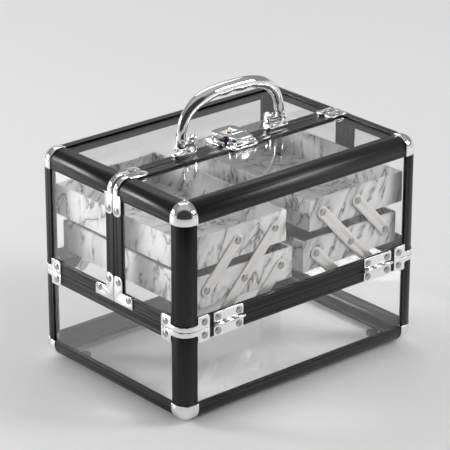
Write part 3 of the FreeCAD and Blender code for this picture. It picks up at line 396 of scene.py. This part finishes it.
GLOSS_INPUTS = {
    "Vector": ("Vector", None),
    "Smoothest": ("Float", 0.0),
    "Dullest": ("Float", 0.1),
}
print("gloss sockets", list(GLOSS_INPUTS))

# %% [markdown]
# ## Fine lines and faint marks
# The fine lines are a noise that each material stretches along its own grain. They vary the gloss
# and also give a height, for a slight relief. The faint marks are a slow, distorted noise, and
# where it is low the surface keeps its full gloss.

# %% Fine lines and faint marks
LINE_RANGE = (0.25, 0.75)
MARK_RANGE = (0.42, 0.72)
MARKS_PER_METRE = 18.0

fine_lines, given, result = effect_group("fine_lines", GLOSS_INPUTS, ("Gloss", "Height"))
grain = noise_at(
    fine_lines.nodes, fine_lines.links, given.outputs["Vector"], 1.0, detail=3.0, roughness=0.65
)
line_gloss = gloss_between(fine_lines, given, grain, LINE_RANGE)
fine_lines.links.new(line_gloss, result.inputs["Gloss"])
fine_lines.links.new(grain, result.inputs["Height"])

faint_marks, given, result = effect_group("faint_marks", GLOSS_INPUTS, ("Gloss",))
patches = noise_at(
    faint_marks.nodes,
    faint_marks.links,
    given.outputs["Vector"],
    MARKS_PER_METRE,
    detail=4.0,
    distortion=0.6,
)
mark_gloss = gloss_between(faint_marks, given, patches, MARK_RANGE)
faint_marks.links.new(mark_gloss, result.inputs["Gloss"])
print("groups", [group.name for group in bpy.data.node_groups])

# %% [markdown]
# ## Black anodised aluminium
# The rails are extruded, brushed and anodised: a very dark grey, never pure black, with a satin
# gloss. Brushing stretches every highlight across the lines, so a lamp draws a long soft streak.
# The shader does that with its Anisotropic value, once its Tangent says which way the lines run.
# The lines themselves break the streak up a little. A rail along X needs its lines along X, so
# the finish is made three times, one for each direction, and each rail is given its own further
# down. The tangent is turned from the rail's own space into the world's, so it still follows the
# rail when a lid opens.

# %% Rail finish
RAIL_BLACK = (0.003, 0.003, 0.0031)
RAIL_SMOOTHEST = 0.31
RAIL_DULLEST = 0.37
RAIL_GLOSS = 0.41
RAIL_BRUSH = 0.6
QUARTER_TURN = 0.25
LINE_LENGTH = 60 * MM
LINE_PITCH = 0.7 * MM
LINE_RELIEF = 0.25
LINE_HEIGHT = 0.006 * MM


def axis_in_world(nodes, links, axis):
    """The direction of a piece's own x, y or z, as the world sees it."""
    along = nodes.new("ShaderNodeCombineXYZ")
    along.inputs[axis.upper()].default_value = 1.0
    in_world = nodes.new("ShaderNodeVectorTransform")
    in_world.vector_type = "VECTOR"
    in_world.convert_from = "OBJECT"
    in_world.convert_to = "WORLD"
    links.new(along.outputs["Vector"], in_world.inputs["Vector"])
    return in_world.outputs["Vector"]


def black_rail(axis):
    """A satin black whose brushed lines run along a rail's own x, y or z."""
    material, nodes, links, shader = plain_material(
        "black_rail_" + axis, RAIL_BLACK, RAIL_SMOOTHEST
    )
    shader.inputs["Specular IOR Level"].default_value = RAIL_GLOSS
    shader.inputs["Anisotropic"].default_value = RAIL_BRUSH
    shader.inputs["Anisotropic Rotation"].default_value = QUARTER_TURN
    links.new(axis_in_world(nodes, links, axis), shader.inputs["Tangent"])
    scale = tuple(LINE_LENGTH if each == axis else LINE_PITCH for each in "xyz")
    vector = object_pattern(nodes, links, scale)
    lines = use_group(
        nodes, links, fine_lines, vector, Smoothest=RAIL_SMOOTHEST, Dullest=RAIL_DULLEST
    )
    links.new(lines["Gloss"], shader.inputs["Roughness"])
    add_relief(nodes, links, shader, lines["Height"], LINE_RELIEF, LINE_HEIGHT)
    return material


rail_finish = {axis: black_rail(axis) for axis in "xyz"}
print("rail finishes", sorted(rail_finish))

# %% [markdown]
# ## Chrome, rivet steel and brass
# Chrome plate is a nearly white mirror. What gives it depth is what it reflects, so its own
# colour stays even and only its gloss varies, where fingers have been. The rivets' heads are
# plain steel, darker and duller than the plate around them, and the key plug is pale brass. All
# three are one recipe, so one function makes them.

# %% Chrome, rivet steel and brass


def marked_metal(name, color, mark_scale, smoothest, dullest):
    """A plain metal with faint marks in its gloss; a larger scale spreads the marks out."""
    material, nodes, links, shader = plain_material(name, color, smoothest)
    shader.inputs["Metallic"].default_value = 1.0
    vector = object_pattern(nodes, links, (mark_scale, mark_scale, mark_scale))
    marks = use_group(
        nodes, links, faint_marks, vector, Smoothest=smoothest, Dullest=dullest
    )
    links.new(marks["Gloss"], shader.inputs["Roughness"])
    return material


CHROME_WHITE = (0.86, 0.86, 0.86)
STEEL_GREY = (0.43, 0.42, 0.41)
BRASS_YELLOW = (0.74, 0.59, 0.36)

chrome = marked_metal("chrome", CHROME_WHITE, mark_scale=1.0, smoothest=0.03, dullest=0.1)
steel = marked_metal("rivet_steel", STEEL_GREY, mark_scale=0.3, smoothest=0.2, dullest=0.36)
brass = marked_metal("brass", BRASS_YELLOW, mark_scale=0.2, smoothest=0.2, dullest=0.38)
print("marked metals", chrome.name, steel.name, brass.name)

# %% [markdown]
# ## Satin nickel
# The tray arms are nickel plate with a satin brush along their length. The left arms lean one way
# and the right arms the other, so the pattern is turned by the arms' own slope: its rise over its
# run.

# %% Satin nickel
ARM_RUN = 63.4
ARM_RISE = 66.8
ARM_TILT = math.atan2(ARM_RISE, ARM_RUN)
NICKEL_WHITE = (0.80, 0.78, 0.75)
NICKEL_METAL = 0.85
NICKEL_SMOOTHEST = 0.33
NICKEL_DULLEST = 0.5
BRUSH_LENGTH = 25 * MM
BRUSH_PITCH = 0.5 * MM
BRUSH_RELIEF = 0.3
BRUSH_HEIGHT = 0.02 * MM


def brushed_nickel(name, tilt):
    """Nickel brushed along an arm that leans by tilt, seen from the front."""
    material, nodes, links, shader = plain_material(name, NICKEL_WHITE, NICKEL_SMOOTHEST)
    shader.inputs["Metallic"].default_value = NICKEL_METAL
    vector = object_pattern(
        nodes, links, (BRUSH_LENGTH, BRUSH_LENGTH, BRUSH_PITCH), turn=(0.0, tilt, 0.0)
    )
    lines = use_group(
        nodes, links, fine_lines, vector, Smoothest=NICKEL_SMOOTHEST, Dullest=NICKEL_DULLEST
    )
    links.new(lines["Gloss"], shader.inputs["Roughness"])
    add_relief(nodes, links, shader, lines["Height"], BRUSH_RELIEF, BRUSH_HEIGHT)
    return material


nickel = {
    "left": brushed_nickel("nickel_left", -ARM_TILT),
    "right": brushed_nickel("nickel_right", ARM_TILT),
}
print("arms lean", round(math.degrees(ARM_TILT), 1), "degrees")

# %% [markdown]
# ## Rubber
# The four feet are moulded rubber: nearly black, dull, and finely pitted. The pits are too small
# to model, so a fine noise tilts the surface instead.

# %% Rubber
RUBBER_BLACK = (0.03, 0.03, 0.03)
RUBBER_ROUGHNESS = 0.75
PITS_PER_METRE = 2500.0
PIT_RELIEF = 0.4
PIT_DEPTH = 0.1 * MM

rubber, nodes, links, shader = plain_material("rubber", RUBBER_BLACK, RUBBER_ROUGHNESS)
pits = noise_at(nodes, links, object_pattern(nodes, links, EVEN), PITS_PER_METRE)
add_relief(nodes, links, shader, pits, PIT_RELIEF, PIT_DEPTH)
print("rubber roughness", RUBBER_ROUGHNESS)

# %% [markdown]
# ## Clear acrylic
# The panels are cast acrylic, 2.5 mm thick, so each is a real sheet that light enters and leaves.
# A plain glass shader with acrylic's refraction does that. Lamps can't shine through such a sheet
# in a short render, and the trays would sit in the dark, so shadow rays alone are let straight
# through. Faint marks dull the surface a little here and there.

# %% Acrylic
ACRYLIC_CLEAR = (0.985, 0.985, 0.985)
ACRYLIC_IOR = 1.49
ACRYLIC_SMOOTHEST = 0.0
ACRYLIC_DULLEST = 0.035
ACRYLIC_MARK_SCALE = (4.0, 4.0, 4.0)
SHADOW_TINT = (0.97, 0.97, 0.97, 1.0)

acrylic, nodes, links, shader = plain_material("clear_acrylic", ACRYLIC_CLEAR, ACRYLIC_SMOOTHEST)
shader.inputs["Transmission Weight"].default_value = 1.0
shader.inputs["IOR"].default_value = ACRYLIC_IOR
vector = object_pattern(nodes, links, ACRYLIC_MARK_SCALE)
marks = use_group(
    nodes, links, faint_marks, vector, Smoothest=ACRYLIC_SMOOTHEST, Dullest=ACRYLIC_DULLEST
)
links.new(marks["Gloss"], shader.inputs["Roughness"])
straight_through = nodes.new("ShaderNodeBsdfTransparent")
straight_through.inputs["Color"].default_value = SHADOW_TINT
rays = nodes.new("ShaderNodeLightPath").outputs
pane = nodes.new("ShaderNodeMixShader")
links.new(rays["Is Shadow Ray"], pane.inputs["Fac"])
links.new(shader.outputs["BSDF"], pane.inputs[1])
links.new(straight_through.outputs["BSDF"], pane.inputs[2])
links.new(pane.outputs["Shader"], nodes["Material Output"].inputs["Surface"])
print("acrylic index", ACRYLIC_IOR)

# %% [markdown]
# ## Marble veins
# A vein is where a slow noise crosses its middle value. A narrow band around that crossing gives
# the vein and a wide one its soft halo. A second noise fades the veins in and out, as a real
# print does, and a third gives the soft grey drifts between them. Every tray is wrapped in the
# same foil, so the recipe is a group, and each tray reads it where its own foil was cut.

# %% Marble veins
VEIN_HALF_WIDTH = 0.026
HALO_HALF_WIDTH = 0.11
FADE_RANGE = (0.4, 0.56)
MIDDLE = 0.5

marble_veins, given, result = effect_group(
    "marble_veins", {"Vector": ("Vector", None)}, ("Vein", "Halo", "Drift")
)
inside = (marble_veins.nodes, marble_veins.links)
sheet = given.outputs["Vector"]
crossing = noise_at(*inside, sheet, 1.0, detail=4.0, distortion=0.5)
presence = noise_at(*inside, sheet, 1.3, detail=2.0, distortion=0.2)
drift = noise_at(*inside, sheet, 0.7, detail=3.0, distortion=0.4)
fade = map_range(*inside, presence, FADE_RANGE, (0.0, 1.0))
off_middle = math_step(*inside, "ABSOLUTE", math_step(*inside, "SUBTRACT", crossing, MIDDLE))
for output_name, half_width in (("Vein", VEIN_HALF_WIDTH), ("Halo", HALO_HALF_WIDTH)):
    band = map_range(*inside, off_middle, (0.0, half_width), (1.0, 0.0), eased=True)
    faded = math_step(*inside, "MULTIPLY", band, fade)
    marble_veins.links.new(faded, result.inputs[output_name])
marble_veins.links.new(drift, result.inputs["Drift"])
print("marble nodes", len(marble_veins.nodes))

# %% [markdown]
# ## Marbled foil
# The trays are boards wrapped in a printed marble foil: white, with grey drifts and thin dark
# veins that run steeply. The pattern is stretched along its own Z, so the veins are long, and
# leaned, so they run down each wall at a slant. Both left trays wear the same stretch of the
# print, so it is read one tray's step further down for the lower one, and the right trays wear
# other stretches. The foil itself has a thin gloss over the print.

# %% Marbled foil
MARBLE_WHITE = (0.80, 0.80, 0.805, 1.0)
MARBLE_GREY = (0.34, 0.34, 0.345, 1.0)
VEIN_DARK = (0.07, 0.07, 0.072, 1.0)
FOIL_ROUGHNESS = 0.32
FOIL_COAT = 0.25
VEIN_SPACING = 17 * MM
VEIN_LENGTH = 60 * MM
DRIFT_RANGE = (0.46, 0.72)
DRIFT_STRENGTH = 0.5
HALO_STRENGTH = 0.72
LEAN = math.radians(24)
LEFT_TURN = (0.3, LEAN, 0.0)
LEFT_TRAY_STEP = (-6.5 * MM, 0.0, -33.4 * MM)
RIGHT_TURN = (0.2, LEAN, 0.4)
CUT_FROM = {
    "left_upper_tray": ((0.0, 0.0, 0.0), LEFT_TURN),
    "left_lower_tray": (LEFT_TRAY_STEP, LEFT_TURN),
    "right_upper_tray": ((0.31, 0.2, 0.1), RIGHT_TURN),
    "right_lower_tray": ((0.3, 0.2, 0.07), RIGHT_TURN),
}


def marble_foil(name, place, turn):
    """Marble print read from its own place and direction on the sheet."""
    material, nodes, links, shader = plain_material(name, MARBLE_WHITE[:3], FOIL_ROUGHNESS)
    shader.inputs["Coat Weight"].default_value = FOIL_COAT
    scale = (VEIN_SPACING, VEIN_SPACING, VEIN_LENGTH)
    vector = object_pattern(nodes, links, scale, turn=turn, place=place)
    marks = use_group(nodes, links, marble_veins, vector)
    drift = map_range(nodes, links, marks["Drift"], DRIFT_RANGE, (0.0, DRIFT_STRENGTH))
    halo = map_range(nodes, links, marks["Halo"], (0.0, 1.0), (0.0, HALO_STRENGTH))
    ground = blend_colors(nodes, links, drift, MARBLE_WHITE, MARBLE_GREY)
    shaded = blend_colors(nodes, links, halo, ground, MARBLE_GREY)
    veined = blend_colors(nodes, links, marks["Vein"], shaded, VEIN_DARK)
    links.new(veined, shader.inputs["Base Color"])
    return material


marble = {
    node: marble_foil("marble_" + node.removesuffix("_tray"), place, turn)
    for node, (place, turn) in CUT_FROM.items()
}
print("marble foils", [material.name for material in marble.values()])

# %% [markdown]
# ## Grey flock as painted shade
# The floors of the lower trays lie in the shade of the upper trays, so a grey flocked sheet is
# laid on them, and its dark grey is painted shade. Flock is short fibre standing on end: it is
# dull, it brightens a little at grazing angles, and its nap runs lighter and darker in patches.
# Sheen gives the brightening, a slow noise the nap, and a very fine one the fibre.

# %% Flock, painted shade
# The two greys of the flocked sheet are painted shade for the floors under the upper trays.
SHADE_FLOCK_DARKER = (0.19, 0.19, 0.192, 1.0)
SHADE_FLOCK_LIGHTER = (0.25, 0.25, 0.252, 1.0)
FLOCK_ROUGHNESS = 0.95
FLOCK_SHEEN = 0.35
FLOCK_SHEEN_ROUGHNESS = 0.5
NAP_PER_METRE = 40.0
FIBRES_PER_METRE = 1800.0
FIBRE_RELIEF = 0.6
FIBRE_HEIGHT = 0.15 * MM

shade_flock, nodes, links, shader = plain_material("painted_shade_flock", SHADE_FLOCK_LIGHTER[:3], FLOCK_ROUGHNESS)
shader.inputs["Sheen Weight"].default_value = FLOCK_SHEEN
shader.inputs["Sheen Roughness"].default_value = FLOCK_SHEEN_ROUGHNESS
vector = object_pattern(nodes, links, EVEN)
fibre = noise_at(nodes, links, vector, FIBRES_PER_METRE)
nap = noise_at(nodes, links, vector, NAP_PER_METRE)
shade_flock_color = blend_colors(nodes, links, nap, SHADE_FLOCK_DARKER, SHADE_FLOCK_LIGHTER)
links.new(shade_flock_color, shader.inputs["Base Color"])
add_relief(nodes, links, shader, fibre, FIBRE_RELIEF, FIBRE_HEIGHT)
print("flock sheen", FLOCK_SHEEN)

# %% [markdown]
# ## From exact solids to finished pieces
# An exact solid arrives as flat triangles with razor edges, and no real edge is that sharp: it has
# a small round that catches the light. Each piece is copied, its loose triangles are welded, flat
# areas are joined into single faces, and a narrow Bevel rounds every edge sharper than a set
# angle. Normals are then smooth over the curved faces and stay flat on the flat ones.

# %% Finishing helper
WELD = 0.002 * MM
FLAT_ANGLE = math.radians(0.6)
EDGE_ANGLE = math.radians(32)


def welded_copy(node):
    """A bmesh of a node's solids, with its loose triangles welded and flat areas joined."""
    code = bmesh.new()
    code.from_mesh(frame["nodes"][node].data)
    bmesh.ops.remove_doubles(code, verts=code.verts, dist=WELD)
    bmesh.ops.dissolve_limit(
        code,
        angle_limit=FLAT_ANGLE,
        verts=code.verts,
        edges=code.edges,
        use_dissolve_boundaries=False,
    )
    return code


def finished_piece(node, material, edge_round, segments=2):
    """Replace a node by its welded copy with softly rounded edges."""
    piece = add_piece(node + "_finished", welded_copy(node), material)
    piece.data.shade_smooth()
    bevel = piece.modifiers.new("soft_edges", "BEVEL")
    bevel.width = edge_round
    bevel.segments = segments
    bevel.limit_method = "ANGLE"
    bevel.angle_limit = EDGE_ANGLE
    bevel.harden_normals = True
    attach(piece, BODY_OF[node])
    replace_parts(piece, node)
    return piece


print("edges sharper than", round(math.degrees(EDGE_ANGLE)), "degrees are rounded")

# %% [markdown]
# ## The solids of a piece
# One node can hold several separate solids, such as the four rails of a ring or all the rivets of
# a lid. Faces that share edges belong together, so a solid is found by walking from face to face:
# its list of faces grows while the loop runs over it, until no new neighbour is left. Its box
# then says how long it is in each direction.

# %% Separate solids


def corners_of(solid):
    """The corners of all the faces of a solid; a solid is a list of faces."""
    return [vertex.co for face in solid for vertex in face.verts]


def box_of(solid):
    """The lowest and the highest corner of a solid's box."""
    corners = corners_of(solid)
    low = Vector(min(corner[i] for corner in corners) for i in range(3))
    high = Vector(max(corner[i] for corner in corners) for i in range(3))
    return low, high


def solids_of(code):
    """The separate solids of a bmesh, always in the order of their first faces."""
    met = set()
    found = []
    for first_face in code.faces:
        if first_face in met:
            continue
        met.add(first_face)
        solid = [first_face]
        for face in solid:
            for neighbour in (other for edge in face.edges for other in edge.link_faces):
                if neighbour not in met:
                    met.add(neighbour)
                    solid.append(neighbour)
        found.append(solid)
    return found


rim = welded_copy("base_rim_rails")
print("solids in the base's rim", len(solids_of(rim)))
rim.free()

# %% [markdown]
# ## The rails and posts
# A ring of rails runs in two directions. Its copy is split into its separate solids, and each
# solid gets the finish whose lines run along its longest side.

# %% Black frame
RAIL_EDGE = 0.22 * MM
BLACK_NODES = [node for node, slot in SLOT_OF.items() if slot == "black_frame"]

for node in BLACK_NODES:
    piece = finished_piece(node, rail_finish["x"], RAIL_EDGE)
    piece.data.materials.append(rail_finish["y"])
    piece.data.materials.append(rail_finish["z"])
    code = bmesh.new()
    code.from_mesh(piece.data)
    for solid in solids_of(code):
        low, high = box_of(solid)
        sides = list(high - low)
        for face in solid:
            face.material_index = sides.index(max(sides))
    code.to_mesh(piece.data)
    code.free()
print("black pieces", len(BLACK_NODES))

# %% [markdown]
# ## The hardware and the feet
# Brackets and hinge leaves are stamped from thin sheet, so their edges are rounded less than a
# rail's. The lock, the latch and the handle's brackets are cast and rounder, the key plug is
# turned and crisp, and the rubber feet are moulded with the softest edges of all.

# %% Chrome, brass and rubber pieces
CAST_NODES = ("lock_body", "latch_hasp", "handle_brackets", "latch_plate")
RIVET_NODES = [node for node in SLOT_OF if node.endswith("_rivets")]
CAST_EDGE = 0.3 * MM
STAMPED_EDGE = 0.15 * MM
PLUG_EDGE = 0.12 * MM
FOOT_EDGE = 0.4 * MM

for node, slot in SLOT_OF.items():
    if slot == "chrome" and node not in RIVET_NODES:
        finished_piece(node, chrome, CAST_EDGE if node in CAST_NODES else STAMPED_EDGE)
    elif slot == "brass":
        finished_piece(node, brass, PLUG_EDGE)
    elif slot == "rubber":
        finished_piece(node, rubber, FOOT_EDGE, segments=3)

# %% [markdown]
# ## Where the rivets sit
# Each rivet's place, and the way its head faces, is measured on its own solid: two of its sides
# are equal, the third is its axis, and its widest ring lies at the head's end. Measuring means
# that no rivet is placed by hand, so each new head stands exactly where the solid one stood.

# %% Where a rivet sits
SAME = 0.02 * MM


def off_axis(offset, axis):
    """Distance of a point from the line through the rivet's middle along axis."""
    return math.hypot(offset[axis - 1], offset[axis - 2])


def rivet_place(solid):
    """A rivet's head: the middle of its seat, the way it faces, its radius and its height."""
    low, high = box_of(solid)
    sides = high - low
    axis = min(range(3), key=lambda i: abs(sides[i - 1] - sides[i - 2]))
    middle = (low + high) / 2
    radius = sides[axis - 1] / 2
    ring = [
        corner[axis]
        for corner in corners_of(solid)
        if off_axis(corner - middle, axis) > radius - SAME
    ]
    side = 1 if sum(ring) / len(ring) > middle[axis] else -1
    out = Vector(side if i == axis else 0.0 for i in range(3))
    top = high[axis] if side > 0 else low[axis]
    seat_level = min(ring, key=lambda level: level * side)
    seat = middle.copy()
    seat[axis] = seat_level
    return seat, out, radius, abs(top - seat_level)


rivets = welded_copy("base_rivets")
widths = {round(2 * rivet_place(solid)[2] / MM, 2) for solid in solids_of(rivets)}
print("the base's rivet heads are", sorted(widths), "mm wide")
rivets.free()

# %% [markdown]
# ## Rivet heads
# A hollow rivet is rolled over by its tool: the middle stays domed, and a groove parts it from a
# rolled rim. Such a head is round, so its half outline is spun once about the rivet's axis. The
# outline is given in shares of the head's radius and height. Rolling also spreads the head, so
# it is made a little wider than the solid that it replaces. A spin leaves its faces in no fixed
# order, so corners and faces are sorted by where they lie, and every run gives the same mesh.

# %% Rivet heads
HEAD_STEPS = 20
HEAD_GROWTH = 1.16
HEAD_OUTLINE = (
    (0.0, 1.0),
    (0.34, 0.95),
    (0.57, 0.80),
    (0.66, 0.50),
    (0.75, 0.46),
    (0.85, 0.64),
    (0.94, 0.56),
    (1.0, 0.28),
    (1.0, 0.0),
    (0.0, 0.0),
)


def add_head(code, seat, out, radius, height):
    """Spin one closed head about its rivet's axis."""
    place = Matrix.Translation(seat) @ out.to_track_quat("Z", "Y").to_matrix().to_4x4()
    outline = [
        code.verts.new(place @ Vector((across * radius * HEAD_GROWTH, 0.0, up * height)))
        for across, up in HEAD_OUTLINE
    ]
    edges = [code.edges.new(pair) for pair in zip(outline, outline[1:])]
    bmesh.ops.spin(
        code,
        geom=outline + edges,
        cent=seat,
        axis=out,
        angle=math.tau,
        steps=HEAD_STEPS,
        use_merge=True,
    )


def put_in_order(elements, middle_of):
    """Sort the corners or faces of a bmesh by where they lie, so that every run is alike."""
    for index, element in enumerate(sorted(elements, key=lambda each: tuple(middle_of(each)))):
        element.index = index
    elements.sort()


def heads_piece(node, places, material):
    """One piece with a spun head at every place."""
    code = bmesh.new()
    for place in places:
        add_head(code, *place)
    bmesh.ops.remove_doubles(code, verts=code.verts, dist=WELD)
    bmesh.ops.recalc_face_normals(code, faces=code.faces)
    put_in_order(code.verts, lambda vertex: vertex.co)
    put_in_order(code.faces, lambda face: face.calc_center_median())
    piece = add_piece(node + "_heads", code, material)
    piece.data.shade_smooth()
    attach(piece, BODY_OF[node])
    return piece


for node in RIVET_NODES:
    code = welded_copy(node)
    places = [rivet_place(solid) for solid in solids_of(code)]
    code.free()
    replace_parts(heads_piece(node, places, steel), node)
    print(node, len(places), "heads")

# %% [markdown]
# ## The tray arms
# Each pair of arms shares a node with its own rivets. The arms keep their shape, and every rivet
# gives up its plain head for a spun one: the head is cut off just above its seat, the cut is
# closed, and the new head stands over it. The small collars that hold the arms off the rim are
# nickel too and have no heads.

# %% Tray arms
ARM_NODES = [node for node, slot in SLOT_OF.items() if slot == "satin_nickel"]
ARM_EDGE = 0.15 * MM
RIVET_SIZE = 6.5 * MM
HEAD_LEFT = 0.1


def is_rivet(solid):
    """Rivets are small on every side, and arms are long."""
    low, high = box_of(solid)
    return max(high - low) < RIVET_SIZE


def cut_head(code, solid, place):
    """Cut a rivet's plain head off above its seat and close the cut."""
    seat, out, _, height = place
    verts = dict.fromkeys(vertex for face in solid for vertex in face.verts)
    edges = dict.fromkeys(edge for face in solid for edge in face.edges)
    cut = bmesh.ops.bisect_plane(
        code,
        geom=[*verts, *edges, *solid],
        plane_co=seat + out * height * HEAD_LEFT,
        plane_no=out,
        clear_outer=True,
    )
    rim = [item for item in cut["geom_cut"] if isinstance(item, bmesh.types.BMEdge)]
    bmesh.ops.holes_fill(code, edges=rim, sides=0)


for node in ARM_NODES:
    finish = nickel["left" if node.startswith("left") else "right"]
    piece = finished_piece(node, finish, ARM_EDGE)
    if node == "tray_pivot_spacers":
        continue
    code = bmesh.new()
    code.from_mesh(piece.data)
    rivets = [solid for solid in solids_of(code) if is_rivet(solid)]
    places = [rivet_place(solid) for solid in rivets]
    for solid, place in zip(rivets, places):
        cut_head(code, solid, place)
    code.to_mesh(piece.data)
    code.free()
    heads_piece(node, places, steel)
    print(node, len(places), "heads")

# %% [markdown]
# ## The trays
# A tray is folded from foiled board, and its edges are rounded by the thickness of the foil
# alone. A Bevel of three steps keeps that small round smooth.

# %% Trays
FOIL_EDGE = 0.35 * MM

for node, material in marble.items():
    finished_piece(node, material, FOIL_EDGE, segments=3)
print("trays", len(marble))

# %% [markdown]
# ## The linings of painted shade
# Each lower tray has a flocked sheet on its floor, cut to the tray's inside with a little play.
# Its grey is painted shade, as that floor lies under the upper tray. It is a thin box whose upper
# edges are pressed round. Its size and place are worked out from the tray's own box, and it rides
# with the tray.

# %% Linings of painted shade
SHADE_SHEET_TRAYS = ("left_lower_tray", "right_lower_tray")
TRAY_WALL = 2.0 * MM
LINING_THICKNESS = 0.6 * MM
LINING_GAP = 0.4 * MM
LINING_EDGE = 0.4 * MM


def lay_shade_sheet(node):
    """Lay a flocked sheet of painted shade on the floor of a tray; returns its length and width.
    """
    low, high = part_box(node)
    inset = TRAY_WALL + LINING_GAP
    size = Vector((high.x - low.x - 2 * inset, high.y - low.y - 2 * inset, LINING_THICKNESS))
    middle = (low + high) / 2
    middle.z = low.z + TRAY_WALL + LINING_THICKNESS / 2
    code = bmesh.new()
    bmesh.ops.create_cube(code, size=1.0)
    bmesh.ops.scale(code, vec=size, verts=code.verts)
    bmesh.ops.translate(code, vec=middle, verts=code.verts)
    top_edges = [edge for edge in code.edges if all(v.co.z > middle.z for v in edge.verts)]
    bmesh.ops.bevel(
        code,
        geom=top_edges,
        offset=LINING_EDGE,
        segments=3,
        profile=0.5,
        affect="EDGES",
        material=-1,
    )
    # The sheet's grey is painted shade for the floor under the upper tray.
    piece = add_piece(node + "_lining", code, shade_flock)
    piece.data.shade_smooth()
    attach(piece, BODY_OF[node])
    return size.xy


for node in SHADE_SHEET_TRAYS:
    print(node, "shade_lining", [round(side / MM, 1) for side in lay_shade_sheet(node)], "mm")

# %% [markdown]
# ## The panels
# The panels are right as they are: flat sheets with square edges. They keep their own meshes and
# get the acrylic.

# %% Panels
PANEL_NODES = [node for node, slot in SLOT_OF.items() if slot == "clear_acrylic"]

for node in PANEL_NODES:
    for material_slot in frame["nodes"][node].material_slots:
        material_slot.material = acrylic
print("panels", len(PANEL_NODES))
